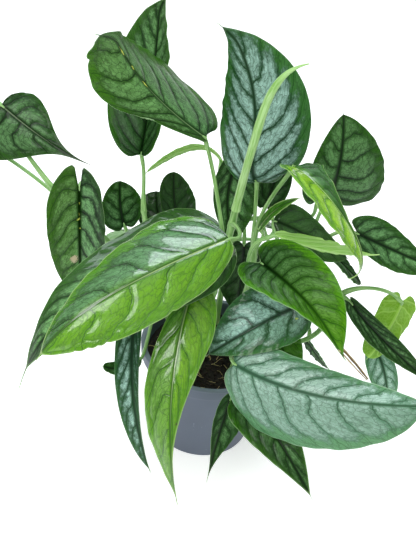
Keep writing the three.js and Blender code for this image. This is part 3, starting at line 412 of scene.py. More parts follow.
def curve_points(points, shares):
    """Points of the curve through evenly spaced points, at shares of its length."""
    points = np.asarray(points, float)
    shares = np.atleast_1d(np.asarray(shares, float))
    knots = np.linspace(0, 1, len(points))
    result = np.zeros((len(shares), 3))
    for i, point in enumerate(points):
        weight = np.ones(len(shares))
        for j, knot in enumerate(knots):
            if j != i:
                weight = weight * (shares - knot) / (knots[i] - knot)
        result += weight[:, None] * point
    return result


def run_along(points):
    """The distance along a line of points at each of them."""
    return np.concatenate([[0], np.cumsum(np.linalg.norm(np.diff(points, axis=0), axis=1))])


def bell(offsets, width):
    """A smooth bump: 1 where the offset is nothing, and next to nothing from twice its width on."""
    return np.exp(-(offsets / width) ** 2)


def new_object(name, data):
    made = bpy.data.objects.new(name, data)
    bpy.context.scene.collection.objects.link(made)
    return made


def mesh_object(name, points, faces, materials, slots=None, attributes=None, sharp=50):
    """A smooth-shaded object from points in millimetres, with per-vertex vectors as named attributes."""
    mesh = bpy.data.meshes.new(name)
    mesh.from_pydata((np.asarray(points, float) * MM).tolist(), [], faces)
    for material in materials:
        mesh.materials.append(material)
    if slots is not None:
        mesh.polygons.foreach_set("material_index", np.asarray(slots, np.int32))
    mesh.shade_smooth()
    mesh.set_sharp_from_angle(angle=math.radians(sharp))
    for key, values in (attributes or {}).items():
        layer = mesh.attributes.new(key, "FLOAT_VECTOR", "POINT")
        layer.data.foreach_set("vector", np.asarray(values, np.float32).ravel())
    mesh.validate()
    mesh.update()
    return new_object(name, mesh)


def ring_faces(rows, sides, ends=True):
    """Faces between rows of rings, and the fans round the two end points that follow the rings."""
    start = rows * sides
    faces = []
    for i in range(rows - 1):
        for k in range(sides):
            a = i * sides + k
            b = i * sides + (k + 1) % sides
            faces.append((a, b, b + sides, a + sides))
    for k in range(sides if ends else 0):
        n = (k + 1) % sides
        faces.append((start, n, k))
        faces.append((start + 1, start - sides + k, start - sides + n))
    return faces


def tube(points, radii, sides, groove=0.0, end_way=None):
    """A closed tube along points, each with its radius, with a groove down one side. Returns the points,
    the faces and a vector for each point: millimetres along, share of the turn, share of the length."""
    points = np.asarray(points, float)
    count = len(points)
    ways = unit(np.gradient(points, axis=0))
    if end_way is not None:
        ways[-1] = unit(end_way)
    run = run_along(points)
    angles = TAU * np.arange(sides) / sides
    shape = 1 - groove * bell((angles + math.pi) % TAU - math.pi, 0.45)
    across = np.array([0.3, 1, 0.2])
    rings = []
    marks = []
    for i in range(count):
        across = unit(across - ways[i] * across.dot(ways[i]))
        up = np.cross(ways[i], across)
        ring = np.outer(np.cos(angles) * shape, across) + np.outer(np.sin(angles) * shape, up)
        rings.append(points[i] + radii[i] * ring)
        marks.append(np.stack([np.full(sides, run[i]), angles / TAU, np.full(sides, i / (count - 1))], 1))
    verts = np.concatenate(rings + [points[:1], points[-1:]])
    return verts, ring_faces(count, sides), np.concatenate(marks + [[[0, 0, 0]], [[run[-1], 0, 1]]])


def joined(parts):
    """Joins (points, faces, marks, material index) parts into one mesh's lists."""
    faces = []
    slots = []
    shift = 0
    for verts, part_faces, _, slot in parts:
        faces += [tuple(v + shift for v in face) for face in part_faces]
        slots += [slot] * len(part_faces)
        shift += len(verts)
    points, marks = [np.concatenate([part[k] for part in parts]) for k in (0, 2)]
    return points, faces, marks, slots


def midrib_of(leaf):
    """The midrib: its length, and evenly spaced points with the ways along, across and up."""
    fine = curve_points(leaf["rib"], np.linspace(0, 1, 5 * MIDRIB_STEPS + 1))
    run = run_along(fine)
    shares = np.linspace(0, 1, MIDRIB_STEPS + 1)
    even = np.linspace(0, run[-1], MIDRIB_STEPS + 1)
    points = np.stack([np.interp(even, run, fine[:, k]) for k in range(3)], 1)
    ways = unit(np.gradient(points, axis=0))
    side = unit(np.cross(ways[MIDRIB_STEPS // 2], np.asarray(leaf["face"], float)))
    across = unit(side - (ways @ side)[:, None] * ways)
    up = np.cross(across, ways)
    turn = np.radians(leaf["twist"]) * (shares - 0.5)
    c = np.cos(turn)[:, None]
    s = np.sin(turn)[:, None]
    return {"length": run[-1], "point": points, "way": ways,
            "across": across * c + up * s, "up": up * c - across * s}


def frame_at(midrib, distance):
    """Point, way, across and up at distances along the midrib, straight on before its start."""
    distance = np.asarray(distance, float)
    place = np.clip(distance / midrib["length"], 0, 1) * MIDRIB_STEPS
    steps = np.arange(MIDRIB_STEPS + 1)
    point, way, across, up = [
        np.stack([np.interp(place, steps, midrib[key][:, k]) for k in range(3)], -1)
        for key in ("point", "way", "across", "up")]
    return point + way * np.minimum(distance, 0)[..., None], way, across, up


def edge_at(leaf, length, t):
    """Distance along the midrib and half width where row t meets the edge."""
    half = leaf["width"] / 2
    widest = leaf["widest"] * length
    angle = leaf["notch"] + (math.pi / 2 - leaf["notch"]) * np.minimum(t / WIDEST_ROW, 1)
    front = np.clip((t - WIDEST_ROW) / (1 - WIDEST_ROW), 0, 1)
    body = np.maximum(np.cos(np.minimum(1, front / (1 - leaf["drip"])) * math.pi / 2), 0) ** leaf["taper"]
    drip = TIP_WIDTH * (1 - front)
    lobe = leaf["lobe"] * length
    back = widest - (widest + lobe) * np.cos(angle) + lobe * bell(np.sin(angle), leaf["sinus"])
    along = np.where(t < WIDEST_ROW, back, widest + (length - widest) * front)
    return along, np.where(t < WIDEST_ROW, half * np.sin(angle), half * (body + drip * (1 - body)))


def blade_sheet(leaf, midrib, rows, columns):
    """The blade's upper side on a grid, with millimetres along and across for each point."""
    t = rows[:, None]
    c = columns[None, :]
    s = np.abs(c)
    side = np.sign(c)
    length = midrib["length"]
    half = leaf["width"] / 2
    edge_along, half_there = edge_at(leaf, length, t)
    for nick_side, nick_row, wide, deep in leaf["nicks"]:
        cut = deep * bell(t - nick_row, wide) * (side == nick_side)
        half_there = np.maximum(half_there - cut, 0.3 * half_there)
    skew = side * (leaf["skew"][0] + (leaf["skew"][1] - leaf["skew"][0]) * t)
    share = np.maximum(LEAST_HALF, 1 + skew)
    edge_across = half_there * share
    edge_along = np.where(edge_along < 0, edge_along * np.minimum(1, share), edge_along)
    rib_along = length * t ** ROW_LEAD
    reach = edge_along - rib_along
    row_bend = ROW_BEND * np.minimum(1, t / WIDEST_ROW)
    along = rib_along + reach * np.where(reach < 0, s * s, s) - row_bend * edge_across * s * (1 - s)
    across = edge_across * s
    fold = np.radians(leaf["fold"][0] + (leaf["fold"][1] - leaf["fold"][0]) * t)
    bend = math.radians(leaf["curl"] or 0.01) / half
    out = (np.sin(fold + bend * across) - np.sin(fold)) / bend
    lift = (np.cos(fold) - np.cos(fold + bend * across)) / bend
    height = leaf["wave"][0] * s * s * np.minimum(1, edge_across / (0.3 * half))
    lift = lift + height * np.sin(TAU * (leaf["wave"][1] * t + 0.37 * side))
    near_tip = np.maximum(0, along / length - HOOK_START) / (1 - HOOK_START)
    aside = out * side + leaf["hook"] * near_tip ** 1.5
    point, way, right, up = frame_at(midrib, along)
    points = point + right * aside[..., None] + up * lift[..., None]
    return points, along, across * side, edge_across + 0 * c


def joint_of(leaf, midrib):
    """The thick joint under the blade's base: root in the midrib, bend, end and the way it runs."""
    point, way, _, up = [v[0] for v in frame_at(midrib, [0.0])]
    hinge = math.radians(leaf["hinge"])
    down = unit(leaf["stalk"]) if "stalk" in leaf else -way * math.cos(hinge) - up * math.sin(hinge)
    bend = point - up * JOINT_DROP
    return point + way * JOINT_ROOT[0] - up * JOINT_ROOT[1], bend, bend + down * JOINT_LENGTH, down


def blade_parts(leaf, midrib, seed):
    """The blade as one closed sheet with swollen panels between its veins, and what its material reads."""
    draw = np.random.default_rng(seed)
    look = leaf["look"]
    row_count, column_count = FINE_GRID if leaf["width"] * midrib["length"] > FINE_FROM else PLAIN_GRID
    rows = np.linspace(0, 1, row_count) ** ROW_CROWDING
    even = np.linspace(-1, 1, column_count)
    columns = np.sign(even) * np.abs(even) ** COLUMN_CROWDING
    sheet, along, across, half_there = blade_sheet(leaf, midrib, rows, columns)
    t = rows[:, None] + 0 * columns[None, :]
    s = np.abs(columns)[None, :] + 0 * t
    side = np.sign(columns)[None, :] + 0 * t
    down = np.gradient(sheet, rows, axis=0)
    right = np.gradient(sheet, columns, axis=1)
    normal = unit(np.cross(right, down))
    normal[-1] = normal[-2]
    # The phase counts main side veins from the base, and its steepness gives millimetres for each of them.
    count = look["veins"] * max(LEAST_VEINS, VEINS_PER_100 * midrib["length"] / 100 + VEINS_AT_TIP)
    phase = count * (t ** 1.15 - (VEIN_SLANT * s + VEIN_ARCH * s ** 2.6) * (1 - t) ** 0.8)
    phase += 0.09 * np.sin(7 * s + 9 * t + draw.uniform(0, 6))
    by_row = np.gradient(phase, rows, axis=0)
    by_column = np.gradient(phase, columns, axis=1)
    dd = np.sum(down * down, -1)
    rr = np.sum(right * right, -1)
    rd = np.sum(right * down, -1)
    area = np.maximum(rr * dd - rd ** 2, 1e-3)
    steep = (dd * by_column ** 2 - 2 * rd * by_row * by_column + rr * by_row ** 2) / area
    per_phase = np.clip(1 / np.sqrt(np.maximum(steep, 1e-6)), 0.5, 30)
    phase += 0.5 * (side > 0) + draw.uniform(0, 1) + 3
    to_vein = np.abs(phase - np.round(phase)) * per_phase
    to_collecting = (COLLECTING - COLLECTING_WAVE * np.cos(TAU * phase) - s) * half_there
    to_rib = np.abs(across)
    to_edge = (1 - s) * half_there
    nearest = np.minimum(np.minimum(to_vein * 1.2, to_rib * 0.8), np.abs(to_collecting) * 1.4)
    room = np.clip(to_edge / EDGE_FADE, 0, 1) * np.clip((1 - t) * 8, 0, 1)
    room = room * np.clip(half_there / NARROW_FADE, 0, 1)
    swell = QUILT * (1 + GLOSSY_SWELL * look["gloss"]) * (1 - np.exp(-nearest / QUILT_RUN)) * room
    groove = -FURROW[0] * bell(to_rib, FURROW[1]) * (1 - t)
    ripple = LONG_RIPPLE[0] * s ** 6 * np.sin(TAU * (LONG_RIPPLE[1] * t + draw.uniform(0, 1)) + 2.1 * side)
    ripple += SHORT_RIPPLE[0] * s ** 8 * np.sin(TAU * (SHORT_RIPPLE[1] * t + draw.uniform(0, 1)) + side)
    ripple *= np.clip(half_there / NARROW_RIPPLE_FADE, 0, 1)
    ridge = RIB_RIDGE[0] * bell(to_rib, RIB_RIDGE[1]) * (1 - t)
    ridge = ridge + VEIN_RIDGE[0] * bell(to_vein, VEIN_RIDGE[1]) * room
    thin = BLADE_THICKNESS * (1 - EDGE_THINNING * s ** 8)
    top = sheet + normal * (swell + groove + ripple)[..., None]
    bottom = sheet + normal * (swell + ripple - thin - ridge)[..., None]
    silver, lime = [look[key][0] + look[key][1] * t ** 2 + look[key][2] * side * np.clip(s * 4, 0, 1)
                    for key in ("silver", "lime")]
    same = 0 * t
    rib, rim, margin, shade, gloss, lines = [
        same + look[key] for key in ("rib", "rim", "margin", "shade", "gloss", "lines")]
    scars = [same, same, same]
    for kind, place, off, tall, wide in leaf["scars"]:
        scars[kind] = scars[kind] + np.exp(-((along - place) / tall) ** 2 - ((across - off) / wide) ** 2)
    values = {
        "net": (phase, across, along),
        "gauge": (per_phase, to_collecting, to_edge),
        "tint": (silver, lime, same + draw.uniform(0, 50)),
        "looks": (rib, rim, margin),
        "skin": (shade, gloss, along / midrib["length"]),
        "scar": scars,
        "pattern": (lines, same, same),
    }
    upper = np.arange(row_count * column_count).reshape(row_count, column_count)
    upper[-1, :] = upper[-1, column_count // 2]
    lower = upper + row_count * column_count
    faces = []
    slots = []

    def face(slot, *corners):
        ring = [v for k, v in enumerate(corners) if v != corners[k - 1]]
        if len(ring) > 2:
            faces.append(tuple(int(v) for v in ring))
            slots.append(slot)

    for i in range(row_count - 1):
        for j in range(column_count - 1):
            face(0, upper[i, j], upper[i, j + 1], upper[i + 1, j + 1], upper[i + 1, j])
            face(1, lower[i, j], lower[i + 1, j], lower[i + 1, j + 1], lower[i, j + 1])
        face(1, upper[i, 0], upper[i + 1, 0], lower[i + 1, 0], lower[i, 0])
        face(1, upper[i, -1], lower[i, -1], lower[i + 1, -1], upper[i + 1, -1])
    for j in range(column_count - 1):
        face(1, upper[0, j], lower[0, j], lower[0, j + 1], upper[0, j + 1])
    vectors = {key: np.tile(np.stack(value, -1).reshape(-1, 3), (2, 1)) for key, value in values.items()}
    return np.concatenate([top.reshape(-1, 3), bottom.reshape(-1, 3)]), faces, slots, vectors


def used_only(points, faces, vectors):
    """Drops the points that no face uses."""
    used = np.zeros(len(points), bool)
    for ring in faces:
        used[list(ring)] = True
    numbers = np.cumsum(used) - 1
    faces = [tuple(int(numbers[v]) for v in ring) for ring in faces]
    return points[used], faces, {key: value[used] for key, value in vectors.items()}


def build_leaf(leaf, midrib, seed):
    """A leaf's blade with its joint: the upper side, the underside and the green stem's skin."""
    points, faces, slots, vectors = blade_parts(leaf, midrib, seed)
    root, bend, end, way = joint_of(leaf, midrib)
    path = np.array([root, bend * 0.6 + root * 0.4, bend, bend + (end - bend) * 0.35,
                     bend + (end - bend) * 0.7, end + way * 0.3])
    stub, stub_faces, marks = tube(path, JOINT_RADII, JOINT_SIDES, JOINT_GROOVE, way)
    shift = len(points)
    faces += [tuple(v + shift for v in ring) for ring in stub_faces]
    slots += [2] * len(stub_faces)
    points = np.concatenate([points, stub])
    for key in vectors:
        vectors[key] = np.concatenate([vectors[key], np.zeros((len(stub), 3))])
    vectors["stem"] = np.concatenate([np.zeros((shift, 3)), marks])
    points, faces, vectors = used_only(points, faces, vectors)
    top, under = [leaf["look"].get(key, leaf["tone"]) for key in ("top", "under")]
    materials = [blade_tops[top], blade_undersides[under], stem_skin]
    piece = mesh_object(leaf["name"] + "_blade", points, faces, materials, slots, vectors, 55)
    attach(piece, "root")
    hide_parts(leaf["name"])


# Bands of the leaf's pattern: where each begins and where it ends, mostly in millimetres from its vein or
# edge, and its strength at the two.
MAIN_VEIN = (0.15, 0.85, 1.0, 0.0)
COLLECTING_VEIN = (0.1, 0.8, 0.45, 0.0)
MINOR_VEIN = (0.05, 0.65, 0.45, 0.0)
MESH_VEIN = (0.01, 0.09, 0.65, 0.0)
FINE_VEIN = (0.01, 0.2, 0.25, 0.0)
MIDRIB = (0.6, 1.9, 1.0, 0.0)
MIDRIB_LINE = (0.2, 0.7, 1.0, 0.0)
RIM_LINE = (0.15, 0.7, 1.0, 0.0)
SILVER_FROM_VEIN = (0.1, 3.4, 0.12, 1.0)
SILVER_FROM_MIDRIB = (1.2, 4.0, 0.15, 1.0)
SILVER_INSIDE = (-3.5, 6.0, 0.12, 1.0)
MARGIN_OUTSIDE = (2.0, -4.0, 0.0, 1.0)
UNDER_MAIN_VEIN = (0.2, 0.9, 0.8, 0.0)
UNDER_MIDRIB = (0.6, 1.4, 1.0, 0.0)
UNDER_MESH_VEIN = (0.02, 0.12, 0.35, 0.0)
SCAR = (1.25, 1.45, 0.0, 0.95)
SCAR_COLOURS = ("#c9d65c", "#c0b094", "#3b3420")
# The grain of the leaf's patterns: cells for each main side vein, then for each millimetre across and along.
WANDER_CELLS = (0.9, 0.1, 0.1)
MOTTLE_CELLS = (0.6, 0.28, 0.28)
NET_CELLS = (5.0, 0.24, 0.0)
UNDER_NET_CELLS = (4.0, 0.26, 0.0)
FINER_NET = 2.6
# How deep the relief of the skins is, in millimetres.
LEAF_RELIEF = 0.3
UNDERSIDE_RELIEF = 0.25
STEM_RELIEF = 0.2
POT_RELIEF = 0.1
SOIL_RELIEF = 0.6
# The streaks of a stem: cells for each millimetre along it, and round it for a streak one millimetre wide.
STEM_STREAK_CELLS = (0.05, 9.0)
# The grain of the other patterns, in cells for each metre. Patches of colour are some centimetres wide,
# specks and crumbs two or three millimetres, and the grain of the pot's plastic less than one.
STEM_CLOUD = 60.0
CORK_SPECK = 420.0
POT_CLOUD = 22.0
POT_SCRATCH = (260.0, 34.0, 90.0)
POT_SCUFFED_AREA = 38.0
POT_GRAIN = 1400.0
PEAT_CRUMB = 480.0
PEAT_BIT = 330.0
BOARD_CLOUD = 3.0
# Refractive indices of leaf wax and stem skin, of polypropylene and of damp peat.
SKIN_IOR = 1.45
PLASTIC_IOR = 1.49
PEAT_IOR = 1.4


# Leaf finishes: living tissue under a waxy skin, which the eye sees as a satin gloss broken up by the
# swollen panels, dark sunken veins and a silvery bloom between them.
def leaf_finish(name, colours, roughness):
    material, node = new_material(name)
    green, silvery, margin, vein, young_green, young_pale, young_vein, pale = map(linear, colours)
    net, gauge, tint, looks, skin, scar, pattern = [
        node("attribute", attribute_name=key)
        for key in ("net", "gauge", "tint", "looks", "skin", "scar", "pattern")]
    per_phase, to_collecting, to_edge = node("split", gauge)
    bloom, young, number = node("split", tint)
    rib_line, rim_line, fresh = node("split", looks)
    shade, gloss, share = node("split", skin)
    # The veins wander by a twelfth of their spacing, and each blade draws its own pattern.
    place = node("vector", 0.0, 0.0, number)
    own = node("moved", net, place)
    drift_place = node("stretched", own, WANDER_CELLS)
    wander = node("range", node("noise", drift_place, 1.0, 4.0), 0.3, 0.7, -0.08, 0.08)
    wandering = node("moved", net, node("vector", wander))
    phase = node("split", wandering)[0]
    main_mm = node("times", node("to_and_fro", phase, 0.5), per_phase)
    # Main veins thin out on their way to the edge.
    main_wide = node("times", main_mm, node("range", to_collecting, 0.0, 18.0, 2.2, 0.95))
    # Mottling from 4 mm down to a fine grain: it frays the silver and roughens the tones.
    mottle = node("noise", node("stretched", own, MOTTLE_CELLS), 1.0, 6.0, 0.72)
    frayed = node("times_plus", mottle, 7.0, -3.5)
    halo_mm = node("plus", main_mm, frayed)
    inner_mm = node("times_plus", frayed, 1.6, to_collecting)
    # Weaker veins run half way between the main ones.
    minor_mm = node("times", node("to_and_fro", node("times", phase, 2.0), 0.5), per_phase)
    rib_mm = node("size", node("split", net)[1])
    rib_wide = node("times", rib_mm, node("range", share, 0.0, 1.0, 0.85, 1.9))
    # The net between the veins: meshes about 3 mm wide, longer along the veins, and finer ones inside them.
    net_place = node("stretched", wandering, NET_CELLS)
    net_place = node("moved", net_place, node("scaled", mottle.node.outputs["Color"], 0.8))
    net_place = node("moved", net_place, place)
    main = node("smooth", main_wide, *MAIN_VEIN)
    collect = node("smooth", node("size", to_collecting), *COLLECTING_VEIN)
    strong = node("larger", node("larger", main, collect), node("smooth", rib_wide, *MIDRIB))
    weak = node("larger", node("smooth", minor_mm, *MINOR_VEIN),
                node("smooth", node("meshes", net_place, 1.0), *MESH_VEIN))
    weak = node("larger", weak, node("smooth", node("meshes", net_place, FINER_NET), *FINE_VEIN))
    veins = node("larger", strong, weak)
    # The silver fades near the strong veins, outside the collecting vein and in patches.
    patch = node("noise", drift_place, 2.0, 3.0)
    patchy = node("times", node("range", patch, 0.3, 0.7, 0.7, 1.15),
                  node("range", mottle, 0.35, 0.65, 0.75, 1.25))
    silver = node("times", node("smooth", halo_mm, *SILVER_FROM_VEIN),
                  node("smooth", rib_wide, *SILVER_FROM_MIDRIB))
    silver = node("times", silver, node("smooth", inner_mm, *SILVER_INSIDE))
    silver = node("times", node("times", silver, patchy), bloom, use_clamp=True)
    outside = node("smooth", inner_mm, *MARGIN_OUTSIDE)
    drawn = node("times", veins, node("split", pattern)[0])
    ground = node("mix", silver, green, silvery)
    ground = node("mix", node("times", outside, 0.7), ground, margin)
    mature = node("mix", drawn, ground, vein)
    lime = node("mix", silver, young_green, young_pale)
    lime = node("mix", node("times", drawn, 0.85), lime, young_vein)
    limy = node("times_plus", outside, fresh, young, use_clamp=True)
    colour = node("mix", limy, mature, lime)
    # The pale line of the midrib's furrow, strongest at the base, and the pale translucent rim.
    furrow = node("range", share, 0.35, 0.65, 0.9, 0.1)
    furrow = node("times", node("smooth", rib_wide, *MIDRIB_LINE), furrow)
    rim = node("times", node("smooth", to_edge, *RIM_LINE), rim_line)
    colour = node("mix", node("larger", node("times", furrow, rib_line), rim), colour, pale)
    # Painted shade: the colour is scaled by the blade's shade, lowest on the leaves inside the crown.
    colour = node("scaled", colour, shade)
    # Ragged scars.
    grit = node("noise", net_place, 3.0, 2.0)
    for amount, hex_colour in zip(node("split", scar), SCAR_COLOURS):
        ragged = node("range", node("times_plus", grit, 1.6, amount), *SCAR)
        colour = node("mix", ragged, colour, linear(hex_colour))
    bump = node("bump", node("times_plus", patch, 0.8, veins), 0.6, LEAF_RELIEF * MM, invert=True)
    dull = node("range", patch, 0.3, 0.7, roughness - 0.04, roughness + 0.08)
    rough = node("times_plus", gloss, -0.16, dull)
    sheen = node("times_plus", gloss, 0.4, 0.08)
    wax = node("times", gloss, 0.7)
    node("material", node("surface", colour, rough, bump, SKIN_IOR, sheen, wax, 0.06))
    return material


def underside_finish(name, green, vein, pale):
    """The matt underside: paler, with raised light veins and no silver."""
    material, node = new_material(name)
    net = node("attribute", attribute_name="net")
    phase, across, _ = node("split", net)
    per_phase = node("split", node("attribute", attribute_name="gauge"))[0]
    main_mm = node("times", node("to_and_fro", phase, 0.5), per_phase)
    main = node("smooth", main_mm, *UNDER_MAIN_VEIN)
    rib = node("smooth", node("size", across), *UNDER_MIDRIB)
    net_place = node("stretched", net, UNDER_NET_CELLS)
    mesh_line = node("smooth", node("meshes", net_place, 1.0), *UNDER_MESH_VEIN)
    veins = node("larger", node("larger", main, rib), mesh_line)
    ground = node("mix", node("noise", net_place, 0.5, 3.0), linear(green), linear(pale))
    colour = node("mix", veins, ground, linear(vein))
    bump = node("bump", veins, 0.5, UNDERSIDE_RELIEF * MM)
    node("material", node("surface", colour, 0.5, bump, SKIN_IOR))
    return material


def stem_finish(name, colours, roughness, streak_mm):
    """Living stem: smooth skin with fine darker streaks along it and small corky specks."""
    material, node = new_material(name)
    light, mid, streak, speck = map(linear, colours)
    stem = node("attribute", attribute_name="stem")
    lengthwise, round_it = STEM_STREAK_CELLS
    streaks = node("noise", node("stretched", stem, (lengthwise, round_it / streak_mm, 0.0)), 1.0, 3.0)
    where = node("place")
    colour = node("mix", node("noise", where, STEM_CLOUD, 2.0), light, mid)
    colour = node("mix", node("range", streaks, 0.4, 0.65), colour, streak)
    specks = node("range", node("cells", where, CORK_SPECK), 0.1, 0.18, 0.6, 0.0)
    colour = node("mix", specks, colour, speck)
    bump = node("bump", streaks, 0.4, STEM_RELIEF * MM)
    node("material", node("surface", colour, roughness, bump, SKIN_IOR))
    return material


# Leaf colours: green, silver bloom, fresh margin and vein, then the green of young tissue, its pale panels
# and its veins, and the pale lines.
MATURE = ("#113d10", "#86c27c", "#1a5013", "#031b05", "#559c06", "#8cc236", "#215902", "#9cc480")
SILVERY = ("#17452a", "#a6cec4", "#28642f", "#082a19", "#4c930a", "#8abf48", "#265f08", "#abcaa5")
PALE = ("#4f8065", "#b2d4c6", "#55906a", "#0e3a22", "#7cbc4e", "#9ed07a", "#3d7a2c", "#b7d6b4")
YOUNG = ("#124808", "#84c083", "#327c08", "#062e03", "#5a9a00", "#96cb26", "#1f5400", "#bfdd8f")
blade_tops = {
    "dark": leaf_finish("mature leaf, satin waxy skin", MATURE, 0.4),
    "silver": leaf_finish("silvery leaf, satin waxy skin", SILVERY, 0.42),
    "pale": leaf_finish("old silvery leaf, pale bloom", PALE, 0.42),
    "young": leaf_finish("young leaf, glossy wet-looking skin", YOUNG, 0.3),
}
# Undersides: tissue without the waxy skin, which the eye sees as paler and flat, with raised veins.
MATT_GREENS = ("#6d9c62", "#9cc286", "#86b275")
blade_undersides = {
    "dark": underside_finish("mature leaf underside, matt", *MATT_GREENS),
    "silver": underside_finish("silvery leaf underside, matt", *MATT_GREENS),
    "young": underside_finish("young leaf underside, matt", "#7db344", "#a9d07c", "#92c25c"),
    # The lit underside is painted backlight: a more saturated lime than the young underside, as strong light
    # shining through the leaf shows it.
    "lit": underside_finish("young leaf underside, matt lime, painted backlight", "#639616", "#95c24e", "#79a826"),
}
# Stems and fibres: light, mid, streak and speck. Living skin has a soft shine, dead fibre none.
stem_skin = stem_finish("green stem, smooth living skin",
                        ("#a6ca8a", "#82af61", "#5f9143", "#76854d"), 0.42, 1.0)
roll_skin = stem_finish("rolled new leaf, smooth pale skin",
                        ("#b8dba0", "#9ccb73", "#7fb254", "#b5d97a"), 0.36, 0.7)
dry_skin = stem_finish("dry sheath and twig, split fibrous bark",
                       ("#8f744f", "#6b5337", "#45331f", "#3c2f22"), 0.85, 0.6)
dry_husk = stem_finish("dry husk, straw-coloured fibre",
                       ("#dccdab", "#c4ad82", "#967c54", "#7d6645"), 0.8, 0.6)
straw = stem_finish("straw fibre, dry", ("#d8c89a", "#bda56f", "#8d7446", "#6e5836"), 0.7, 0.5)

leaves = {}
for name, row in LEAVES.items():
    leaf = {**LEAF_SHAPE, **row, "name": name}
    leaf["look"] = {**LOOK, **TONE_LOOKS[leaf["tone"]], **leaf["look"]}
    leaves[name] = (leaf, midrib_of(leaf))
for number, (leaf, midrib) in enumerate(leaves.values()):
    build_leaf(leaf, midrib, LEAF_SEED + number)


def stalk_part(vine, share, leaf, midrib, hug):
    """A leaf's stalk: a sheath that clasps the vine, then a slim grooved stalk up to the leaf's joint."""
    start = curve_points(vine["points"], share)[0]
    way = unit(start - curve_points(vine["points"], share - 0.02)[0])
    _, _, joint_end, joint_way = joint_of(leaf, midrib)
    reach = np.linalg.norm(start - joint_end)
    leaving = start + way * reach * hug
    coming = joint_end + joint_way * reach * STALK_APPROACH
    t = np.linspace(0, 1, STALK_STEPS + 1)
    k = t[:, None]
    path = start * (1 - k) ** 3 + 3 * leaving * k * (1 - k) ** 2 + 3 * coming * k * k * (1 - k)
    path = path + joint_end * k ** 3
    sheath = np.clip(1.4 * (1 - t / SHEATH_SHARE), 0, 1)
    radii = STALK_RADIUS + (SHEATH_RADIUS - STALK_RADIUS) * sheath + 0.12 * bell(t - 1, 0.03)
    return tube(path, radii, STALK_SIDES, STALK_GROOVE, -joint_way)


def vine_part(vine):
    """A climbing stem, swollen where each leaf springs from it."""
    shares = np.linspace(0, 1, VINE_STEPS + 1)
    radii = vine["radius"][0] + (vine["radius"][1] - vine["radius"][0]) * shares
    for stalk in vine["stalks"]:
        radii = radii + NODE_SWELL * bell(shares - stalk[0], NODE_LENGTH)
    return tube(curve_points(vine["points"], shares), radii, VINE_SIDES)


for name, vine in VINES.items():
    parts = [(*vine_part(vine), 0)]
    for share, leaf_name, *hug in vine["stalks"]:
        parts.append((*stalk_part(vine, share, *leaves[leaf_name], (hug + [STALK_HUG])[0]), 0))
    if "stump" in vine:
        path = curve_points(vine["stump"], np.linspace(0, 1, STUMP_STEPS + 1))
        radii = np.linspace(*STUMP_RADII, STUMP_STEPS + 1)
        parts.append((*tube(path, radii, STUMP_SIDES, STUMP_GROOVE), 0))
    points, faces, marks, slots = joined(parts)
    stems = mesh_object(name + "_stems", points, faces, [stem_skin], slots, {"stem": marks}, 60)
    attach(stems, "root")
    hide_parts(name)


def rolled_leaf():
    """The newest leaf: a blade rolled round itself, with the free edge winding up it."""
    shares = np.linspace(0, 1, ROLL["steps"] + 1)
    path = curve_points(ROLL["points"], shares)
    radii = np.interp(shares, np.linspace(0, 1, len(ROLL["radii"])), ROLL["radii"])
    radii = radii * (1 + 0.05 * np.sin(shares * 9) + 0.03 * np.sin(shares * 37) * np.sin(shares * 23))
    radii = radii * (1 + 0.28 * bell(shares, 0.025))
    verts, faces, marks = tube(path, radii, ROLL["sides"])
    body = verts[:-2]
    ring, step = np.divmod(np.arange(len(body)), ROLL["sides"])
    seam = (step / ROLL["sides"] - 0.62 - 0.9 * shares[ring]) % 1
    scale = 1.08 - 0.2 * seam - 0.12 * bell(seam, 0.045)
    body += (body - path[ring]) * (scale - 1)[:, None]
    return verts, faces, marks


points, faces, marks = rolled_leaf()
roll = mesh_object("new_leaf_roll_skin", points, faces, [roll_skin], None, {"stem": marks}, 40)
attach(roll, "root")
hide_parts("new_leaf_roll")

# The twig is split: a dark strand and two straw-coloured ones that fray away from it.
count = TWIG["steps"] + 1
first = TWIG["fray_start"]
shares = np.linspace(0, 1, count)
path = curve_points(TWIG["points"], shares)
radii = np.linspace(*TWIG["radius"], count) * (1 + 0.12 * np.sin(np.linspace(0, 31, count)))
strands = [(*tube(path, radii, TWIG["sides"], 0.3), 0)]
for way, width in TWIG["frays"]:
    apart = np.sin(shares[first:] * math.pi * 0.85)[:, None] * np.array(way) * TWIG["fray_reach"]
    strands.append((*tube(path[first:] + apart, radii[first:] * width, 8, 0.2), 1))
points, faces, marks, slots = joined(strands)
twig = mesh_object("dead_twig_bark", points, faces, [dry_skin, dry_husk], slots, {"stem": marks}, 50)
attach(twig, "root")
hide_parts("dead_twig")


def ring_points(radius, segments, height):
    angles = TAU * np.arange(segments) / segments
    return np.stack([radius * np.cos(angles), radius * np.sin(angles), np.full(segments, height)], 1)


def lathe(profile, segments):
    """A closed turned solid from an outline that starts and ends on the axis."""
    inner = profile[1:-1]
    rings = [ring_points(r, segments, z) for r, z in inner]
    verts = np.concatenate(rings + [[[0, 0, profile[0][1]]], [[0, 0, profile[-1][1]]]])
    return verts, ring_faces(len(inner), segments)


def pot_radius(z):
    top = POT_RIM_RADIUS - RIM_STEP
    return POT_BASE_RADIUS + (top - POT_BASE_RADIUS) * z / POT_HEIGHT


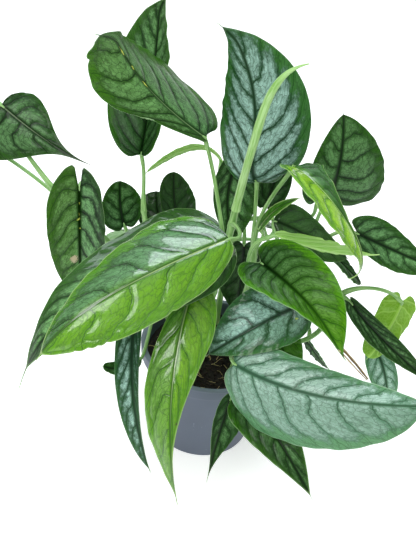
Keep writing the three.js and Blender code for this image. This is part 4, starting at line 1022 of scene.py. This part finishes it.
def pot_outline():
    """The pot's outline, from the middle of its foot out, up its side, over the rim and back inside."""
    under = POT_HEIGHT - RIM_DEPTH
    floor = FOOT_LIFT + POT_WALL
    ring_inside = POT_BASE_RADIUS - 1 - FOOT_RING_WIDTH
    outline = [(0, 0), (FOOT_RADIUS * 0.5, 0), (FOOT_RADIUS, 0), (FOOT_RADIUS + 0.6, 0.4),
               (FOOT_RADIUS + FOOT_LIFT, FOOT_LIFT), (DRAIN_RING_RADIUS, FOOT_LIFT),
               (ring_inside, FOOT_LIFT), (ring_inside + FOOT_LIFT - 0.5, 0.3), (ring_inside + FOOT_LIFT, 0),
               (POT_BASE_RADIUS - 1.2, 0), (POT_BASE_RADIUS - 0.5, 0.15), (pot_radius(0.6), 0.6),
               (pot_radius(1.6), 1.6)]
    outline += [(pot_radius(z), z) for z in np.linspace(6, under - 1.2, SIDE_RINGS)]
    outline += [(pot_radius(under) + 0.1, under - 0.5), (pot_radius(under) + 0.5, under - 0.05)]
    outline += [(POT_RIM_RADIUS - inset, under + up) for inset, up in ((1.0, 0), (0.55, 0.4), (0.4, 1.2))]
    outline += [(POT_RIM_RADIUS - 0.4 + 0.4 * k, under + 1.2 + (RIM_DEPTH - 2.4) * k)
                for k in (0.25, 0.5, 0.75, 1)]
    outline += [(POT_RIM_RADIUS - inset, POT_HEIGHT - drop)
                for inset, drop in ((0.2, 0.5), (0.7, 0.1), (1.3, 0))]
    outline += [(pot_radius(POT_HEIGHT) - 1.0, POT_HEIGHT), (pot_radius(POT_HEIGHT) - 1.6, POT_HEIGHT - 0.3),
                (pot_radius(POT_HEIGHT - 1.2) - POT_WALL, POT_HEIGHT - 1.2)]
    outline += [(pot_radius(z) - POT_WALL, z) for z in np.linspace(POT_HEIGHT - 6, floor + 3, INSIDE_RINGS)]
    outline += [(pot_radius(floor) - POT_WALL - 0.6, floor), (DRAIN_RING_RADIUS, floor),
                (FOOT_RADIUS * 0.5, floor), (0, floor)]
    return outline


def pot_finish():
    """Injection-moulded polypropylene: matt slate skin, slightly cloudy, with fine pale scuffs and a paler
    rim top.
    """
    material, node = new_material("pot, moulded polypropylene")
    where = node("place")
    cloud = node("noise", where, POT_CLOUD, 3.0)
    ground = node("mix", cloud, linear("#4b5565"), linear("#5d6779"))
    slanted = node("mapped", where, (0.5, 0.4, 0.3), POT_SCRATCH)
    scratch = node("range", node("noise", slanted, 1.0, 2.0), 0.68, 0.76)
    scuffed_area = node("range", node("noise", where, POT_SCUFFED_AREA), 0.52, 0.62)
    scuff = node("times", scratch, scuffed_area)
    rim_wear = node("range", node("split", where)[2], (POT_HEIGHT - 2.5) * MM, POT_HEIGHT * MM, 0.0, 0.35)
    colour = node("mix", node("plus", scuff, rim_wear, use_clamp=True), ground, linear("#98a2b2"))
    bump = node("bump", node("noise", where, POT_GRAIN), 0.25, POT_RELIEF * MM)
    rough = node("range", cloud, 0.0, 1.0, 0.45, 0.6)
    node("material", node("surface", colour, rough, bump, PLASTIC_IOR))
    return material


def cut_holes(piece, radius, ring_radius, count):
    """Drills holes through the floor of a piece, on a ring round its axis."""
    outline = [(0, -DRILL_REACH), (radius, -DRILL_REACH), (radius, DRILL_REACH), (0, DRILL_REACH)]
    verts, faces = lathe(outline, DRILL_SEGMENTS)
    drills = []
    for k in range(count):
        angle = TAU * (k + 0.5) / count
        place = np.array([ring_radius * math.cos(angle), ring_radius * math.sin(angle), 0])
        drills.append((verts + place, faces, verts, 0))
    points, faces, _, _ = joined(drills)
    drill = mesh_object("drill", points, faces, [])
    cut = piece.modifiers.new("holes", "BOOLEAN")
    cut.object = drill
    cut.operation = "DIFFERENCE"
    cut.solver = "EXACT"
    made_plain(piece)
    bpy.data.objects.remove(drill)
    piece.data.shade_smooth()
    piece.data.set_sharp_from_angle(angle=math.radians(40))


def made_plain(piece):
    """Turns what a piece's modifiers make into its own plain mesh."""
    made = bpy.data.meshes.new_from_object(piece.evaluated_get(bpy.context.evaluated_depsgraph_get()))
    piece.modifiers.clear()
    piece.data = made


points, faces = lathe(pot_outline(), POT_SEGMENTS)
pot = mesh_object("pot_shell", points, faces, [pot_finish()], sharp=40)
cut_holes(pot, DRAIN_RADIUS, DRAIN_RING_RADIUS, DRAIN_HOLES)
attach(pot, "root")
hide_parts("pot")


def soil_finish(name, dark, light, pale):
    """Moist peat mix: near-black crumbs with brown and straw-coloured bits, and no gloss."""
    material, node = new_material(name)
    where = node("place")
    crumbs = node("noise", where, PEAT_CRUMB, 5.0)
    ground = node("mix", node("range", crumbs, 0.35, 0.75), linear(dark), linear(light))
    bits = node("range", node("cells", where, PEAT_BIT), 0.12, 0.2, 0.5, 0.0)
    bump = node("bump", crumbs, 0.8, SOIL_RELIEF * MM)
    colour = node("mix", bits, ground, linear(pale))
    node("material", node("surface", colour, 0.88, bump, PEAT_IOR))
    return material


soil_mix = soil_finish("potting mix, moist peat", "#0d0a08", "#20170f", "#4d3d28")
chip_bark = soil_finish("potting mix, bark chips", "#15100c", "#33261a", "#66523a")


def soil_height(x, y, radius):
    """Crumbly ground in millimetres above the soil's edge."""
    crown = SOIL_CROWN * np.cos(np.minimum(np.hypot(x, y) / radius, 1) * math.pi / 2)
    rough = 1.1 * np.sin(0.31 * x + 1) * np.cos(0.27 * y)
    rough += 0.5 * np.sin(0.9 * x + 0.4 * y) * np.cos(0.8 * y - 0.5 * x)
    rough += 0.35 * np.sin(2.1 * x) * np.sin(1.9 * y + 1)
    return crown + rough * np.clip((radius - np.hypot(x, y)) / 8, 0.2, 1)


def soil_parts():
    """The soil as one closed body with a rough top."""
    radius = pot_radius(SOIL_TOP) - POT_WALL - SOIL_GAP
    floor = FOOT_LIFT + POT_WALL + SOIL_GAP
    low = pot_radius(floor) - POT_WALL - 0.5
    outline = [(0, floor), (low * 0.5, floor), (low, floor), (radius, SOIL_TOP - 1)]
    outline += [(radius * k, SOIL_TOP) for k in np.linspace(1, 0.02, SOIL_RINGS)]
    outline.append((0, SOIL_TOP))
    verts, faces = lathe(outline, SOIL_SEGMENTS)
    top = verts[:, 2] > SOIL_TOP - 0.5
    crumbs = np.random.default_rng(CRUMB_SEED).normal(0, CRUMB_HEIGHT, top.sum())
    verts[top, 2] += soil_height(verts[top, 0], verts[top, 1], radius) + crumbs
    return verts, faces


points, faces = soil_parts()
soil = mesh_object("soil_bed", points, faces, [soil_mix], sharp=70)
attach(soil, "root")
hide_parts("soil")


def scatter_tree(name, fibre):
    """Strews small bits over a surface: bark chips, or bent fibres where fibre is true."""
    tree = bpy.data.node_groups.new(name, "GeometryNodeTree")
    node = partial(add, tree)
    for label, kind, value in (
            ("Geometry", "Geometry", None), ("Density", "Float", 10000.0), ("Length", "Float", 0.004),
            ("Thickness", "Float", 0.001), ("Seed", "Int", 1), ("Finish", "Material", None)):
        socket = tree.interface.new_socket(label, in_out="INPUT", socket_type="NodeSocket" + kind)
        if value is not None:
            socket.default_value = value
    tree.interface.new_socket("Geometry", in_out="OUTPUT", socket_type="NodeSocketGeometry")
    ground, density, length, thickness, seed, finish = node("given")[:6]
    slim = node("over", thickness, length)
    if fibre:
        tilt, noise_scale, bending = 0.5, 150.0, 0.006
        line = node("bow", 8, (-0.5, 0, 0), (-0.2, 0.14, 0.02), (0.2, -0.1, 0.1), (0.5, 0.03, 0.05))
        ring = node("resized", node("circle", 5, 0.5), node("vector", slim, slim, slim))
        shape = node("swept", line, ring, True)
    else:
        tilt, noise_scale, bending = 0.9, 420.0, 0.0022
        shape = node("resized", node("ball", 0.5, 2), node("vector", 1.0, 0.62, slim))
    turn = node("turns", (-tilt, -tilt, 0.0), (tilt, tilt, TAU), seed)
    size = node("times", node("sizes", 0.45, 1.3, seed), length)
    real = node("real", node("copies", node("dots", ground, density, seed), shape, turn, size))
    rough = node("noise", node("position"), noise_scale).node.outputs["Color"]
    shift = node("scaled", node("less", rough, (0.5, 0.5, 0.5)), bending)
    node("handed_on", node("finished", node("shifted", real, shift), finish))
    return tree


def strewn(name, ground, tree, values):
    """Runs a scatter tree on a surface and returns the plain mesh object it makes."""
    host = new_object(name, ground)
    run = host.modifiers.new("strew", "NODES")
    run.node_group = tree
    for item in tree.interface.items_tree:
        if item.item_type == "SOCKET" and item.in_out == "INPUT" and item.name in values:
            run[item.identifier] = values[item.name]
    made_plain(host)
    return host


def soil_surface():
    """The open top of the soil, clear of the pot's wall."""
    radius = pot_radius(SOIL_TOP) - POT_WALL - LITTER_GAP
    verts = np.concatenate([ring_points(radius * k, LITTER_SEGMENTS, 0)
                            for k in np.linspace(1, 0.04, LITTER_RINGS)])
    soil_radius = radius + LITTER_GAP - SOIL_GAP
    verts[:, 2] = SOIL_TOP + soil_height(verts[:, 0], verts[:, 1], soil_radius)
    mesh = bpy.data.meshes.new("soil_surface")
    mesh.from_pydata((verts * MM).tolist(), [], ring_faces(LITTER_RINGS, LITTER_SEGMENTS, False))
    return mesh


ground = soil_surface()
chips = strewn("soil_chips", ground, scatter_tree("bark chips", False),
               {"Density": 90000.0, "Length": 0.0042, "Thickness": 0.0016, "Seed": 3, "Finish": chip_bark})
fibres = strewn("soil_fibres", ground, scatter_tree("straw fibres", True),
                {"Density": 12000.0, "Length": 0.014, "Thickness": 0.0006, "Seed": 5, "Finish": straw})
for litter in (chips, fibres):
    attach(litter, "root")


# Floor, light and camera.
def floor_finish():
    """Matt white board: even and without gloss. It gives some light of its own, so that hardly a shadow
    shows on it, as in the photo."""
    material, node = new_material("floor, matt white board")
    colour = node("mix", node("noise", node("place"), BOARD_CLOUD), linear("#f7f7f7"), linear("#fbfbfb"))
    node("material", node("board", colour, 0.9, colour, 0.5))
    return material


FLOOR_SIDE = 4000
FLOOR_FRONT = -3000
FLOOR_BACK = 6000
SKY_STRENGTH = 0.38

corners = [(-FLOOR_SIDE, FLOOR_FRONT, 0), (FLOOR_SIDE, FLOOR_FRONT, 0),
           (FLOOR_SIDE, FLOOR_BACK, 0), (-FLOOR_SIDE, FLOOR_BACK, 0)]
floor = mesh_object("floor", corners, [(0, 1, 2, 3)], [floor_finish()])

world = bpy.data.worlds.new("studio")
bpy.context.scene.world = world
world.use_nodes = True
world.node_tree.nodes.clear()
sky = add(world.node_tree, "background", linear("#ffffff"), SKY_STRENGTH)
add(world.node_tree, "world", sky)


def turned(right, up, back):
    """The turn of a light or camera with these three ways."""
    return Matrix(np.stack([right, up, back], 1).tolist()).to_4x4()


def soft_box(name, place, target, size, power, tint):
    """A square area light at a place in metres, turned to a target. Its size keeps the shadows soft."""
    lamp = bpy.data.lights.new(name, "AREA")
    lamp.shape = "SQUARE"
    lamp.size = size
    lamp.energy = power
    lamp.color = linear(tint)[:3]
    back = unit(np.array(place) - np.array(target))
    side = unit(np.cross([0, 1, 0.01], back))
    turn = turned(side, np.cross(back, side), back)
    new_object(name, lamp).matrix_world = Matrix.Translation(place) @ turn


soft_box("light_above_front", (-0.4, -0.95, 1.4), (0, 0, 0.2), 0.9, 16, "#ffffff")
soft_box("light_above_back", (-0.1, 0.55, 1.45), (0, 0, 0.2), 0.75, 15, "#eef8ff")

CAMERA_PLACE = (-0.009, -0.540, 0.590)
CAMERA_DOWN = math.radians(38)
CAMERA_ROLL = math.radians(7)
SENSOR = 36.0
FOCAL_PIXELS = 840
LONG_SIDE_PIXELS = 555

lens = bpy.data.cameras.new("camera")
lens.sensor_width = SENSOR
lens.lens = SENSOR * FOCAL_PIXELS / LONG_SIDE_PIXELS
lens.clip_start = 0.01
camera = new_object("camera", lens)
forward = np.array([0, math.cos(CAMERA_DOWN), -math.sin(CAMERA_DOWN)])
level = np.array([1.0, 0, 0])
above = np.cross(level, forward)
right = level * math.cos(CAMERA_ROLL) + above * math.sin(CAMERA_ROLL)
up = above * math.cos(CAMERA_ROLL) - level * math.sin(CAMERA_ROLL)
camera.matrix_world = Matrix.Translation(CAMERA_PLACE) @ turned(right, up, -forward)
bpy.context.scene.camera = camera
bpy.context.scene.view_settings.view_transform = "Standard"
